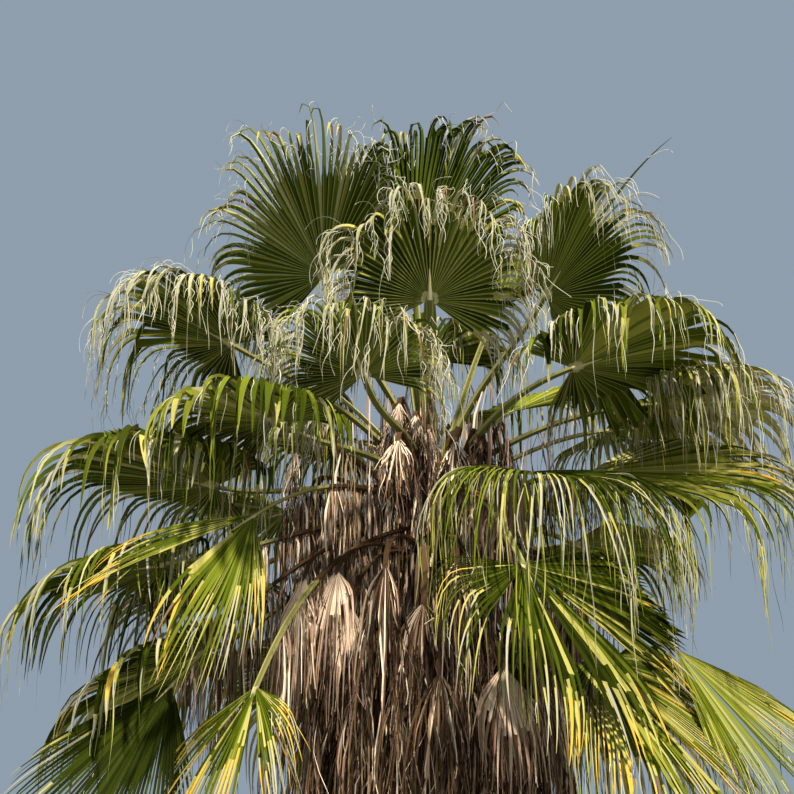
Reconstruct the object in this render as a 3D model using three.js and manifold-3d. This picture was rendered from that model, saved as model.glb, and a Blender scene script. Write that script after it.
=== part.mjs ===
// Fan palm, whole tree, millimetres, +Z up, origin at the middle of the flat cut at ground level.
// A straight ringed trunk carries one unopened spear, a crown of green fan fronds and a skirt of dead ones.
import * as THREE from 'three';
import Module from 'manifold-3d';

const wasm = await Module();
wasm.setup();
const { Manifold, Mesh } = wasm;

// ---- trunk ----
const TRUNK_SIDES = 18;
const TRUNK_PROFILE = [ // [height, radius]: root flare, slow taper, leaf-base cone at the top
  [0, 440], [160, 385], [480, 335], [1150, 300], [2900, 278], [4900, 262],
  [5700, 252], [6030, 236], [6240, 190], [6390, 120], [6450, 62],
];
const SEAT_GAP = 0.3;        // clear space between a foot and the trunk
const FACET_ALLOWANCE = 1.05; // flats of the trunk lie nearer its axis than its corners
const CLEAR = 2.5;           // clear space between two fronds

// ---- a frond ----
const PATH_STEPS = 24;       // steps along one leaflet
const LEAFLETS = 13, FAR_LEAFLETS = 11; // leaflets of a green blade that shows, and of one on the far half
const BLADE_THICK = 15;      // joined part of the blade
const KEEL = 16;             // depth of a free leaflet
const CUP = 0.05;            // lift of the blade's sides
const ARCH = 0.15;           // downward bow over the whole leaflet
const SIDE_SHORTER = 0.38;   // side leaflets against the middle one
const LENGTH_SPREAD = 0.12;  // uneven lengths of neighbouring leaflets
const MOST_FALL = 0.97, FALL = 0.7; // how far, and how soon, a free tip turns down
const HUB_WIDE = 44, HUB_HIGH = 34, FOOT_WIDE = 74, FOOT_HIGH = 46;
const FOOT_DEPTH = 40;       // a foot starts this far inside the trunk's skin, then is cut clear of it
const FOOT_PULL = 0.4, HUB_PULL = 0.35; // shares of the stalk that keep its foot's and its blade's direction
const COSTA = 210, COSTA_SINK = 6; // run of the stalk under the blade past its hub, and its depth there
const STALK_RINGS = 4, DEAD_RINGS = 3;
// sections of a free leaflet: shares of its free run, and widths against the space between two valleys
const GREEN_FREE = { at: [0.42, 0.74, 1], wide: [0.6, 0.42] };
const DEAD_FREE = { at: [0.5, 1], wide: [0.55] };

// azimuth, reach and height of the blade's hub | height of the foot, rise at the foot |
// yaw, pitch, roll, lean of the blade | length, half span, share joined |
// droop, how soon it comes, and how much more of it on one side
const FROND_KEYS = ['az', 'reach', 'hubZ', 'footZ', 'rise', 'yaw', 'pitch', 'roll', 'lean',
  'blade', 'span', 'split', 'droop', 'fall', 'sideFall'];
const SEEN_FRONDS = [
  [-146, 890, 7575, 6330, 72, 15, 66, 0, -12, 1400, 98, 0.6, 0.8, 1.6, 0],
  [-114, 274, 7702, 6380, 78, 0, 80, 0, 14, 1500, 56, 0.6, 0.8, 1.6, 0],
  [-90, 950, 7143, 6280, 62, 0, 60, 0, 7, 1170, 122, 0.52, 1, 0.7, 0],
  [-35, 976, 7361, 6300, 70, 0, 52, 0, 22, 1290, 94, 0.55, 0.85, 1.2, 0],
  [-109, 1318, 6452, 6190, 40, 0, 37, 0, -2, 1080, 120, 0.45, 1, 0.7, 0],
  [-156, 1487, 6992, 6240, 45, 0, 22, 0, 0, 1380, 118, 0.5, 1, 0.7, 0],
  [-40, 1237, 6701, 6200, 45, 26, 15, 0, 0, 1480, 118, 0.56, 1, 0.7, 0],
  [-2, 1582, 6763, 6240, 35, 0, 3, 0, 4, 1480, 104, 0.5, 1, 0.7, 0],
  [-170, 1500, 6085, 6120, 10, 0, 10, 0, 0, 1760, 118, 0.5, 1, 0.7, 0],
  [-134, 1454, 6217, 6150, 20, 0, 9, 0, 0, 1150, 120, 0.45, 1, 0.7, 0],
  [-137, 1535, 5578, 6000, 5, -10, -40, -56, 10, 1650, 43, 0.34, 0.35, 1.5, -0.2],
  [-167, 1812, 5475, 5960, -10, 0, -12, 0, 0, 1420, 118, 0.46, 1, 0.7, 0],
  [-178, 1522, 4978, 5840, -20, 0, -24, 0, 0, 1500, 112, 0.55, 1, 0.7, 0],
  [-160, 1755, 4613, 5880, -16, 0, -50, -55, 12, 1600, 42, 0.75, 0.25, 1.5, 0],
  [-134, 1536, 4456, 5820, -20, 0, -66, 0, 0, 1400, 64, 0.34, 0.4, 1, 0],
  [-55, 1102, 5916, 6080, 25, 10, -19, 14, 0, 1700, 116, 0.36, 1, 0.55, 0],
  [-67, 1417, 5149, 6030, -5, 10, -58, 0, 16, 1650, 100, 0.5, 0.6, 0.8, -0.6],
  [-13, 1612, 4889, 5860, -20, 0, -47, 55, -4, 1700, 30, 0.5, 0.3, 1.5, 0],
  [3, 1114, 6299, 6080, 10, -16, -4, 38, -6, 1750, 74, 0.55, 0.8, 1.3, 0],
  [-42, 1339, 4693, 5850, -20, 0, -56, 0, 24, 1750, 85, 0.5, 0.5, 1, 0],
  [168, 702, 6534, 6150, 25, 0, 14, 0, 0, 1050, 112, 0.5, 1, 0.7, 0],
];
// dead fronds caught among the stalks near the heart, in the same columns
const HEART_FRONDS = [
  [-150, 1047, 6241, 6060, 18, 0, -84, 0, 0, 950, 30, 0.4, 1],
  [-117, 473, 6634, 6260, 56, 0, -86, 0, 0, 720, 26, 0.4, 1],
  [-16, 537, 6550, 6120, 30, 0, -84, 0, 0, 1000, 32, 0.4, 1],
  [67, 357, 6665, 6335, 40, 0, -84, 0, 0, 1000, 34, 0.4, 1],
];
// the half of the crown that faces away: one frond after another steps round the fan from FAR_FIRST over
// FAR_SPREAD degrees by the golden share, and takes its shape between two of these stations, youngest first
const FAR_COUNT = 16;
const FAR_FIRST = 18, FAR_SPREAD = 146, FAR_START = 0.758, GOLDEN = 0.381966;
const FAR_KEYS = ['reach', 'hubZ', 'footZ', 'rise', 'pitch', 'blade', 'span', 'split', 'droop'];
const FAR_STATIONS = [
  [420, 7980, 6370, 80, 74, 1200, 106, 0.62, 0.9],
  [1120, 7380, 6280, 56, 44, 1300, 108, 0.56, 1],
  [1430, 6850, 6190, 32, 16, 1400, 108, 0.5, 1],
  [1540, 6150, 6060, 8, -2, 1400, 108, 0.5, 1],
  [1520, 5500, 5940, -8, -20, 1400, 106, 0.5, 1],
  [1380, 4850, 5830, -22, -46, 1450, 104, 0.55, 1],
];

// ---- spear: the youngest leaf, still folded ----
const SPEAR = { foot: 34, swell: 52, swellAt: 0.55, height: 1850, sides: 8 };

// ---- skirt of dead fronds: tiers of boots round the trunk, each with its hanging fronds ----
const BOOTS_PER_TIER = 4, DEAD_PER_BOOT = 3;
const DEAD_LEAFLETS = 4;
const DEAD_SHAPE = { yaw: 0, pitch: -80, roll: 0, lean: 0, span: 34, split: 0.28, droop: 1 };
const SKIRT_SPREAD = { reach: 0.16, drop: 0.3, blade: 0.24 }; // unevenness among the dead fronds
const BOOT = { thick: 55, high: 120, sector: 82, depth: 20, steps: 3 };
const SKIRT_TIERS = [ // boot height, first azimuth, hub reach, hub drop, rise at the foot, blade length
  { z: 5560, az: -80, reach: 960, drop: 260, rise: 6, blade: 1500 },
  { z: 5080, az: -60, reach: 800, drop: 430, rise: -6, blade: 1400 },
  { z: 4500, az: -90, reach: 620, drop: 560, rise: -16, blade: 1200 },
];
// seeds of the uneven lengths: green fronds count from 1, dead ones from here, so many for each boot
const DEAD_SEEDS = 100, SEEDS_PER_BOOT = 5;

// ---- small maths ----
const rad = (d) => d * Math.PI / 180;
const vec = (x, y, z) => new THREE.Vector3(x, y, z);
const mix = (...terms) => terms.reduce((sum, [v, k]) => sum.addScaledVector(v, k), vec(0, 0, 0));
const DOWN = vec(0, 0, -1);
function chance(a, b) { // even spread between 0 and 1, the same for the same pair
  const x = Math.sin(a * 12.9898 + b * 78.233) * 43758.5453;
  return x - Math.floor(x);
}
const uneven = (spread, share) => 1 + spread * (share - 0.5);
function heading(azimuth, rise) {
  return vec(Math.cos(azimuth) * Math.cos(rise), Math.sin(azimuth) * Math.cos(rise), Math.sin(rise));
}
function trunkRadius(z) {
  for (let i = 1; i < TRUNK_PROFILE.length; i++) {
    const [z0, r0] = TRUNK_PROFILE[i - 1], [z1, r1] = TRUNK_PROFILE[i];
    if (z <= z1) return r0 + (r1 - r0) * (z - z0) / (z1 - z0);
  }
  return 0;
}

// ---- solids ----
function solid(points, faces) {
  const vertProperties = new Float32Array(points.flatMap((p) => [p.x, p.y, p.z]));
  return new Manifold(new Mesh({ numProp: 3, vertProperties, triVerts: new Uint32Array(faces.flat()) }));
}
function loft(rings, tip) { // closed skin over rings of equal count, ending flat or in a point
  const n = rings[0].length, points = rings.flat(), faces = [];
  for (let r = 0; r + 1 < rings.length; r++)
    for (let i = 0; i < n; i++) {
      const a = r * n + i, b = r * n + (i + 1) % n;
      faces.push([a, b, a + n], [b, b + n, a + n]);
    }
  const last = (rings.length - 1) * n;
  for (let i = 1; i + 1 < n; i++) faces.push([0, i + 1, i]);
  if (tip) {
    points.push(tip);
    for (let i = 0; i < n; i++) faces.push([last + i, last + (i + 1) % n, points.length - 1]);
  } else for (let i = 1; i + 1 < n; i++) faces.push([last, last + i, last + i + 1]);
  return solid(points, faces);
}
function column(profile, sides, extra) {
  const rings = profile.map(([z, r]) => Array.from({ length: sides }, (_, i) => {
    const a = 2 * Math.PI * i / sides;
    return vec((r + extra) * Math.cos(a), (r + extra) * Math.sin(a), z);
  }));
  return loft(rings);
}

// ---- frond: frame, stalk and blade ----
function frondFrame(row) {
  const az = rad(row.az), yaw = az + rad(row.yaw);
  const axis = heading(yaw, rad(row.pitch));
  const level = vec(-Math.sin(yaw), Math.cos(yaw), 0);
  const flat = axis.clone().cross(level);
  const roll = rad(row.roll);
  const side = mix([level, Math.cos(roll)], [flat, Math.sin(roll)]);
  const up = axis.clone().cross(side);
  const hub = vec(row.reach * Math.cos(az), row.reach * Math.sin(az), row.hubZ);
  const footR = trunkRadius(row.footZ) - FOOT_DEPTH;
  const foot = vec(footR * Math.cos(az), footR * Math.sin(az), row.footZ);
  return { row, az, hub, foot, axis, side, up };
}
function stalkPoint(f, t) { // cubic from the foot to the hub
  const run = f.hub.distanceTo(f.foot), s = 1 - t;
  const near = f.foot.clone().addScaledVector(heading(f.az, rad(f.row.rise)), run * FOOT_PULL);
  const far = f.hub.clone().addScaledVector(f.axis, -run * HUB_PULL);
  return mix([f.foot, s * s * s], [near, 3 * s * s * t], [far, 3 * s * t * t], [f.hub, t * t * t]);
}
function stalkSolid(f, spans = STALK_RINGS) {
  const rings = [], level = vec(-Math.sin(f.az), Math.cos(f.az), 0), nearby = 0.02;
  const ring = (at, along, wide, high) => {
    const across = level.clone().addScaledVector(along, -level.dot(along)).normalize();
    const over = along.clone().cross(across);
    return [[1, 0], [0, 1], [-1, 0], [0, -1]].map(([a, b]) =>
      mix([at, 1], [across, a * wide / 2], [over, b * high / 2]));
  };
  for (let k = 0; k <= spans; k++) {
    const t = k / spans;
    const along = stalkPoint(f, Math.min(1, t + nearby)).sub(stalkPoint(f, Math.max(0, t - nearby))).normalize();
    const wide = FOOT_WIDE + (HUB_WIDE - FOOT_WIDE) * t, high = FOOT_HIGH + (HUB_HIGH - FOOT_HIGH) * t;
    rings.push(ring(stalkPoint(f, t), along, wide, high));
  }
  return loft(rings, mix([f.hub, 1], [f.axis, COSTA], [f.up, -COSTA_SINK]));
}
function leafletDirection(f, angle) {
  return mix([f.axis, Math.cos(angle)], [f.side, Math.sin(angle)], [f.up, CUP * Math.abs(Math.sin(angle))]).normalize();
}
function leafletPath(f, u, length) { // from the hub to the tip; u runs from -1 to 1 across the blade
  const angle = rad(f.row.lean + u * f.row.span), out = leafletDirection(f, angle);
  const at = f.hub.clone(), path = [at.clone()], ways = [out];
  for (let k = 0; k < PATH_STEPS; k++) {
    const t = (k + 0.5) / PATH_STEPS;
    const free = Math.min(1, Math.max(0, (t - f.row.split) / (1 - f.row.split)));
    const droop = f.row.droop * (1 + (f.row.sideFall ?? 0) * u);
    const w = Math.min(MOST_FALL, ARCH * t * t + droop * free ** (f.row.fall ?? FALL));
    const way = mix([out, 1 - w], [DOWN, w]).normalize();
    at.addScaledVector(way, length / PATH_STEPS);
    path.push(at.clone());
    ways.push(way);
  }
  return { path, ways, across: mix([f.axis, -Math.sin(angle)], [f.side, Math.cos(angle)]) };
}
function pathAt(leaf, t) {
  const x = t * PATH_STEPS, k = Math.min(PATH_STEPS - 1, Math.floor(x));
  const at = leaf.path[k].clone().lerp(leaf.path[k + 1], x - k);
  const across = leaf.across.clone().addScaledVector(leaf.ways[k + 1], -leaf.across.dot(leaf.ways[k + 1])).normalize();
  return { at, across, under: across.clone().cross(leaf.ways[k + 1]).normalize() };
}
function bladeParts(f, count, seed, sections) {
  const long = (u) => f.row.blade * (1 - SIDE_SHORTER * u * u);
  const valleys = [], leaves = [];
  for (let j = 0; j <= count; j++) {
    const u = -1 + 2 * j / count;
    const { at } = pathAt(leafletPath(f, u, long(u)), f.row.split);
    valleys.push([mix([at, 1], [f.up, BLADE_THICK / 2]), mix([at, 1], [f.up, -BLADE_THICK / 2])]);
  }
  for (let k = 0; k < count; k++) {
    const u = -1 + (2 * k + 1) / count;
    const leaf = leafletPath(f, u, long(u) * uneven(LENGTH_SPREAD, chance(seed, k)));
    const space = valleys[k][0].distanceTo(valleys[k + 1][0]);
    const free = sections.at.map((share, i) => {
      const { at, across, under } = pathAt(leaf, f.row.split + (1 - f.row.split) * share);
      const half = space * (sections.wide[i] ?? 0) / 2;
      return { tip: at, ring: [mix([at, 1], [across, -half]), mix([at, 1], [across, half]), mix([at, 1], [under, KEEL])] };
    });
    leaves.push(free);
  }
  const hub = [mix([f.hub, 1], [f.up, BLADE_THICK / 2]), mix([f.hub, 1], [f.up, -BLADE_THICK / 2])];
  return { hub, valleys, leaves };
}
// closed skin of the leaflets from..to-1; each keeps so many free sections, none leaves a straight cut
function bladeRun(parts, keep, from, to) {
  const points = [...parts.hub], faces = [];
  for (let j = from; j <= to; j++) points.push(...parts.valleys[j]);
  const top = (j) => 2 + 2 * (j - from), low = (j) => 3 + 2 * (j - from);
  faces.push([0, 1, low(from)], [0, low(from), top(from)]);
  faces.push([1, 0, top(to)], [1, top(to), low(to)]);
  for (let k = from; k < to; k++) {
    faces.push([0, top(k), top(k + 1)], [1, low(k + 1), low(k)]);
    const a = top(k), b = top(k + 1), c = low(k + 1), d = low(k);
    const kept = keep[k];
    if (kept <= 0) { faces.push([a, d, b], [d, c, b]); continue; }
    let base = null;
    for (let i = 0; i < kept; i++) {
      const { tip, ring } = parts.leaves[k][i];
      const n = points.length;
      if (i === kept - 1) {
        points.push(tip);
        if (!base) faces.push([b, a, n], [a, d, n], [d, c, n], [c, b, n]);
        else for (let e = 0; e < 3; e++) faces.push([base + (e + 1) % 3, base + e, n]);
      } else {
        points.push(...ring);
        const [l, r, q] = [n, n + 1, n + 2];
        if (!base) faces.push([a, l, r], [a, r, b], [b, r, c], [c, r, q], [c, q, d], [d, q, l], [d, l, a]);
        else for (let e = 0; e < 3; e++) {
          const e1 = (e + 1) % 3;
          faces.push([base + e, n + e, n + e1], [base + e, n + e1, base + e1]);
        }
        base = n;
      }
    }
  }
  return solid(points, faces);
}

// ---- the crown and the skirt as lists of rows ----
const named = (values) => Object.fromEntries(FROND_KEYS.map((key, i) => [key, values[i]]));
const greenRows = SEEN_FRONDS.map(named);
for (let i = 0; i < FAR_COUNT; i++) {
  const x = i / (FAR_COUNT - 1) * (FAR_STATIONS.length - 1), k = Math.min(FAR_STATIONS.length - 2, Math.floor(x));
  const row = { az: FAR_FIRST + FAR_SPREAD * ((FAR_START + i * GOLDEN) % 1), yaw: 0, roll: 0, lean: 0 };
  FAR_KEYS.forEach((key, c) => { row[key] = FAR_STATIONS[k][c] + (FAR_STATIONS[k + 1][c] - FAR_STATIONS[k][c]) * (x - k); });
  greenRows.push(row);
}

const boots = [];
SKIRT_TIERS.forEach((tier, t) => {
  for (let b = 0; b < BOOTS_PER_TIER; b++) {
    const middle = tier.az + b * 360 / BOOTS_PER_TIER, fronds = [];
    for (let i = 0; i < DEAD_PER_BOOT; i++) {
      const az = middle + (i - 1) * BOOT.sector / DEAD_PER_BOOT, r = chance(t * 7 + b, i + 40);
      fronds.push({ ...DEAD_SHAPE, az, reach: tier.reach * uneven(SKIRT_SPREAD.reach, r),
        hubZ: tier.z - tier.drop * uneven(SKIRT_SPREAD.drop, r), footZ: tier.z + BOOT.high / 2,
        rise: tier.rise, blade: tier.blade * uneven(SKIRT_SPREAD.blade, r) });
    }
    boots.push({ z: tier.z, az: middle, fronds });
  }
});

// ---- building, with every new piece kept clear of what stands already ----
const placed = [];
const boxesMeet = (a, b) => [0, 1, 2].every((i) => a.min[i] < b.max[i] + CLEAR && b.min[i] < a.max[i] + CLEAR);
function place(m, owner) { placed.push({ m, owner, box: m.boundingBox() }); }
function blocked(m, owner) {
  const box = m.boundingBox();
  return placed.some((p) => p.owner !== owner && boxesMeet(p.box, box) && p.m.minGap(m, CLEAR) < CLEAR);
}
// a leaflet that would touch anything loses its free sections one by one, and is left out if that is too little
function growBlade(f, count, seed, sections, owner, siblings) {
  const parts = bladeParts(f, count, seed, sections), keep = [], own = [];
  for (let k = 0; k < count; k++) {
    let kept = sections.at.length;
    for (; kept >= 0; kept--) {
      const trial = keep.slice();
      trial[k] = kept;
      const leaflet = bladeRun(parts, trial, k, k + 1);
      if (blocked(leaflet, owner) || siblings.some((m) => m.minGap(leaflet, CLEAR) < CLEAR)) continue;
      if (kept > 0 && own.some(({ at, m }) => at < k - 1 && m.minGap(freePiece(parts, k, kept), CLEAR) < CLEAR)) continue;
      own.push({ at: k, m: kept > 0 ? freePiece(parts, k, kept) : leaflet });
      break;
    }
    keep.push(kept);
  }
  const runs = [];
  for (let k = 0; k < count; k++) {
    if (keep[k] < 0) continue;
    let to = k + 1;
    while (to < count && keep[to] >= 0) to++;
    runs.push(bladeRun(parts, keep, k, to));
    k = to;
  }
  return runs;
}
function freePiece(parts, k, kept) { // the free run of one leaflet by itself
  const [a, b] = parts.valleys[k], [d, c] = parts.valleys[k + 1];
  const base = [a, d, mix([b, 0.5], [c, 0.5])];
  const rings = [base], free = parts.leaves[k];
  for (let i = 0; i + 1 < kept; i++) rings.push(free[i].ring);
  return loft(rings.map((r) => r.map((p) => p.clone()).reverse()), free[kept - 1].tip.clone());
}

const trunk = column(TRUNK_PROFILE, TRUNK_SIDES, 0);
const seat = column(TRUNK_PROFILE.map(([z, r], i) => [i === TRUNK_PROFILE.length - 1 ? z + SEAT_GAP : z, r]),
  TRUNK_SIDES, SEAT_GAP * FACET_ALLOWANCE);
place(trunk, 'trunk');

const top = TRUNK_PROFILE.at(-1)[0] + SEAT_GAP;
const spearRings = [[0, SPEAR.foot], [SPEAR.swellAt, SPEAR.swell]].map(([share, r]) =>
  Array.from({ length: SPEAR.sides }, (_, i) => {
    const a = 2 * Math.PI * i / SPEAR.sides;
    return vec(r * Math.cos(a), r * Math.sin(a), top + share * SPEAR.height);
  }));
const spear = loft(spearRings, vec(0, 0, top + SPEAR.height));
place(spear, 'spear_leaf');

const two = (n) => String(n).padStart(2, '0');
const green = greenRows.map((row, i) => {
  const f = frondFrame(row);
  return { name: `frond_${two(i + 1)}`, frames: [f], core: stalkSolid(f).subtract(seat) };
});
const dead = [...boots, ...HEART_FRONDS.map((values) => ({ fronds: [named(values)] }))].map((boot, i) => {
  const frames = boot.fronds.map(frondFrame), stalks = frames.map((f) => stalkSolid(f, DEAD_RINGS));
  const core = Manifold.union(boot.z ? [bootSolid(boot), ...stalks] : stalks).subtract(seat);
  return { name: `skirt_${two(i + 1)}`, frames, core };
});
function bootSolid(boot) {
  const outer = trunkRadius(boot.z) + BOOT.thick, inner = trunkRadius(boot.z) - BOOT.depth, { steps } = BOOT;
  const arc = (r, z) => Array.from({ length: steps + 1 }, (_, i) => {
    const a = rad(boot.az + BOOT.sector * (i / steps - 0.5));
    return vec(r * Math.cos(a), r * Math.sin(a), z);
  });
  const ring = (z) => [...arc(outer, z), ...arc(inner, z).reverse()];
  const rings = [ring(boot.z), ring(boot.z + BOOT.high)], n = rings[0].length, faces = [];
  for (let i = 0; i < n; i++) {
    const j = (i + 1) % n;
    faces.push([i, j, i + n], [j, j + n, i + n]);
  }
  for (let i = 0; i < steps; i++) { // end faces as strips between the two arcs
    const o = i, p = i + 1, q = n - 2 - i, r = n - 1 - i;
    faces.push([o, r, q], [o, q, p], [o + n, q + n, r + n], [o + n, p + n, q + n]);
  }
  return solid(rings.flat(), faces);
}
[...green, ...dead].forEach((g) => place(g.core, g.name));
function finish(g, count, seed, sections) {
  const runs = [];
  g.frames.forEach((f, i) => runs.push(...growBlade(f, count, seed + i, sections, g.name, runs)));
  runs.forEach((run) => place(run, g.name));
  g.solid = Manifold.union([g.core, ...runs]);
}
green.forEach((g, i) => finish(g, i < SEEN_FRONDS.length ? LEAFLETS : FAR_LEAFLETS, i + 1, GREEN_FREE));
dead.forEach((g, i) => finish(g, DEAD_LEAFLETS, DEAD_SEEDS + SEEDS_PER_BOOT * i, DEAD_FREE));

// ---- meshes ----
function mesh(name, m, material) {
  const { vertProperties, triVerts } = m.getMesh();
  const geometry = new THREE.BufferGeometry();
  geometry.setAttribute('position', new THREE.BufferAttribute(new Float32Array(vertProperties), 3));
  geometry.setIndex(new THREE.BufferAttribute(new Uint32Array(triVerts), 1));
  geometry.computeVertexNormals();
  const out = new THREE.Mesh(geometry, new THREE.MeshStandardMaterial({ metalness: 0, ...material }));
  out.name = name;
  return out;
}
const palm = new THREE.Group();
palm.name = 'fan_palm';
palm.add(mesh('trunk', trunk, { color: 0x7a6a58, roughness: 0.9 }));
palm.add(mesh('spear_leaf', spear, { color: 0x8fa04a, roughness: 0.6 }));
green.forEach((g) => palm.add(mesh(g.name, g.solid, { color: 0x5f7030, roughness: 0.55 })));
dead.forEach((g) => palm.add(mesh(g.name, g.solid, { color: 0xa88a68, roughness: 0.85 })));
export default palm;
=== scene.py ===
import math
import bpy
import numpy as np
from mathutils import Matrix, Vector, noise


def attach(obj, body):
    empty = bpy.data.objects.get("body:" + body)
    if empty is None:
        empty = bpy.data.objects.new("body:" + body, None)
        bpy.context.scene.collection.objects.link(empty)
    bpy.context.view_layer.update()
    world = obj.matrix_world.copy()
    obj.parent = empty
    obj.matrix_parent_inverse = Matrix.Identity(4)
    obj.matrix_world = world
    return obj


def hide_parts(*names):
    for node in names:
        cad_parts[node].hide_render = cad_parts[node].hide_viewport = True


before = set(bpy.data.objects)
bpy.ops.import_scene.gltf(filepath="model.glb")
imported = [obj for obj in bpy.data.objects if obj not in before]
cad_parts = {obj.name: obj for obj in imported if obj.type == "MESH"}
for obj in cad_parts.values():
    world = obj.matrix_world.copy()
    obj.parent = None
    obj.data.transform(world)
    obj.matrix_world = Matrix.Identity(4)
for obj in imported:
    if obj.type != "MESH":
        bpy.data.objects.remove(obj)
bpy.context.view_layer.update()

down = np.array([0.0, 0.0, -1.0])


# how a frond grows, in metres and degrees: the same rule as the solids, carried to finer leaflets
growth = {
    "pathSteps": 24, "cup": 0.05, "arch": 0.15, "sideShorter": 0.38, "lengthSpread": 0.12,
    "mostFall": 0.97, "fall": 0.7, "footDepth": 0.04, "footPull": 0.4, "hubPull": 0.35,
    "costa": 0.21, "costaSink": 0.006,
}
trunkProfile = [  # height, radius
    (0, 0.440), (0.16, 0.385), (0.48, 0.335), (1.15, 0.300), (2.9, 0.278), (4.9, 0.262),
    (5.7, 0.252), (6.03, 0.236), (6.24, 0.190), (6.39, 0.120), (6.45, 0.062),
]
# azimuth, reach, hub height, foot height, rise | yaw, pitch, roll, lean | blade, span, split |
# droop, how soon it comes, how much more of it on one side
frondKeys = ["az", "reach", "hubZ", "footZ", "rise", "yaw", "pitch", "roll", "lean",
             "blade", "span", "split", "droop", "fall", "sideFall"]
seenFronds = [
    [-146, 0.890, 7.575, 6.330, 72, 15, 66, 0, -12, 1.40, 98, 0.6, 0.8, 1.6, 0],
    [-114, 0.274, 7.702, 6.380, 78, 0, 80, 0, 14, 1.50, 56, 0.6, 0.8, 1.6, 0],
    [-90, 0.950, 7.143, 6.280, 62, 0, 60, 0, 7, 1.17, 122, 0.52, 1, 0.7, 0],
    [-35, 0.976, 7.361, 6.300, 70, 0, 52, 0, 22, 1.29, 94, 0.55, 0.85, 1.2, 0],
    [-109, 1.318, 6.452, 6.190, 40, 0, 37, 0, -2, 1.08, 120, 0.45, 1, 0.7, 0],
    [-156, 1.487, 6.992, 6.240, 45, 0, 22, 0, 0, 1.38, 118, 0.5, 1, 0.7, 0],
    [-40, 1.237, 6.701, 6.200, 45, 26, 15, 0, 0, 1.48, 118, 0.56, 1, 0.7, 0],
    [-2, 1.582, 6.763, 6.240, 35, 0, 3, 0, 4, 1.48, 104, 0.5, 1, 0.7, 0],
    [-170, 1.500, 6.085, 6.120, 10, 0, 10, 0, 0, 1.76, 118, 0.5, 1, 0.7, 0],
    [-134, 1.454, 6.217, 6.150, 20, 0, 9, 0, 0, 1.15, 120, 0.45, 1, 0.7, 0],
    [-137, 1.535, 5.578, 6.000, 5, -10, -40, -56, 10, 1.65, 43, 0.34, 0.35, 1.5, -0.2],
    [-167, 1.812, 5.475, 5.960, -10, 0, -12, 0, 0, 1.42, 118, 0.46, 1, 0.7, 0],
    [-178, 1.522, 4.978, 5.840, -20, 0, -24, 0, 0, 1.50, 112, 0.55, 1, 0.7, 0],
    [-160, 1.755, 4.613, 5.880, -16, 0, -50, -55, 12, 1.60, 42, 0.75, 0.25, 1.5, 0],
    [-134, 1.536, 4.456, 5.820, -20, 0, -66, 0, 0, 1.40, 64, 0.34, 0.4, 1, 0],
    [-55, 1.102, 5.916, 6.080, 25, 10, -19, 14, 0, 1.70, 116, 0.36, 1, 0.55, 0],
    [-67, 1.417, 5.149, 6.030, -5, 10, -58, 0, 16, 1.65, 100, 0.5, 0.6, 0.8, -0.6],
    [-13, 1.612, 4.889, 5.860, -20, 0, -47, 55, -4, 1.70, 30, 0.5, 0.3, 1.5, 0],
    [3, 1.114, 6.299, 6.080, 10, -16, -4, 38, -6, 1.75, 74, 0.55, 0.8, 1.3, 0],
    [-42, 1.339, 4.693, 5.850, -20, 0, -56, 0, 24, 1.75, 85, 0.5, 0.5, 1, 0],
    [168, 0.702, 6.534, 6.150, 25, 0, 14, 0, 0, 1.05, 112, 0.5, 1, 0.7, 0],
]
heartFronds = [
    [-150, 1.047, 6.241, 6.060, 18, 0, -84, 0, 0, 0.95, 30, 0.4, 1],
    [-117, 0.473, 6.634, 6.260, 56, 0, -86, 0, 0, 0.72, 26, 0.4, 1],
    [-16, 0.537, 6.550, 6.120, 30, 0, -84, 0, 0, 1.0, 32, 0.4, 1],
    [67, 0.357, 6.665, 6.335, 40, 0, -84, 0, 0, 1.0, 34, 0.4, 1],
]
farSide = {
    "count": 16, "first": 18, "spread": 146, "start": 0.758, "golden": 0.381966,
    "keys": ["reach", "hubZ", "footZ", "rise", "pitch", "blade", "span", "split", "droop"],
    "stations": [
        [0.42, 7.98, 6.37, 80, 74, 1.2, 106, 0.62, 0.9], [1.12, 7.38, 6.28, 56, 44, 1.3, 108, 0.56, 1],
        [1.43, 6.85, 6.19, 32, 16, 1.4, 108, 0.5, 1], [1.54, 6.15, 6.06, 8, -2, 1.4, 108, 0.5, 1],
        [1.52, 5.5, 5.94, -8, -20, 1.4, 106, 0.5, 1], [1.38, 4.85, 5.83, -22, -46, 1.45, 104, 0.55, 1],
    ],
}
skirtTiers = [
    {"z": 5.56, "az": -80, "reach": 0.96, "drop": 0.26, "rise": 6, "blade": 1.5},
    {"z": 5.08, "az": -60, "reach": 0.8, "drop": 0.43, "rise": -6, "blade": 1.4},
    {"z": 4.5, "az": -90, "reach": 0.62, "drop": 0.56, "rise": -16, "blade": 1.2},
]


# small maths
def chance(a, b):  # even spread between 0 and 1, the same for the same pair
    x = np.sin(a * 12.9898 + b * 78.233) * 43758.5453
    return x - np.floor(x)


def unit(v):
    return v / np.maximum(np.linalg.norm(v, axis=-1, keepdims=True), 1e-9)


def heading(azimuth, rise):
    return np.array([math.cos(azimuth) * math.cos(rise), math.sin(azimuth) * math.cos(rise), math.sin(rise)])


def trunkRadius(z):
    return float(np.interp(z, [p[0] for p in trunkProfile], [p[1] for p in trunkProfile]))


def uneven(spread, share):
    return 1 + spread * (share - 0.5)


# meshes from arrays: closed strips, each a row of rings
def newBag():
    return {"points": [], "quads": [], "tris": [], "quadSlots": [], "triSlots": [], "size": 0}


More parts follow.
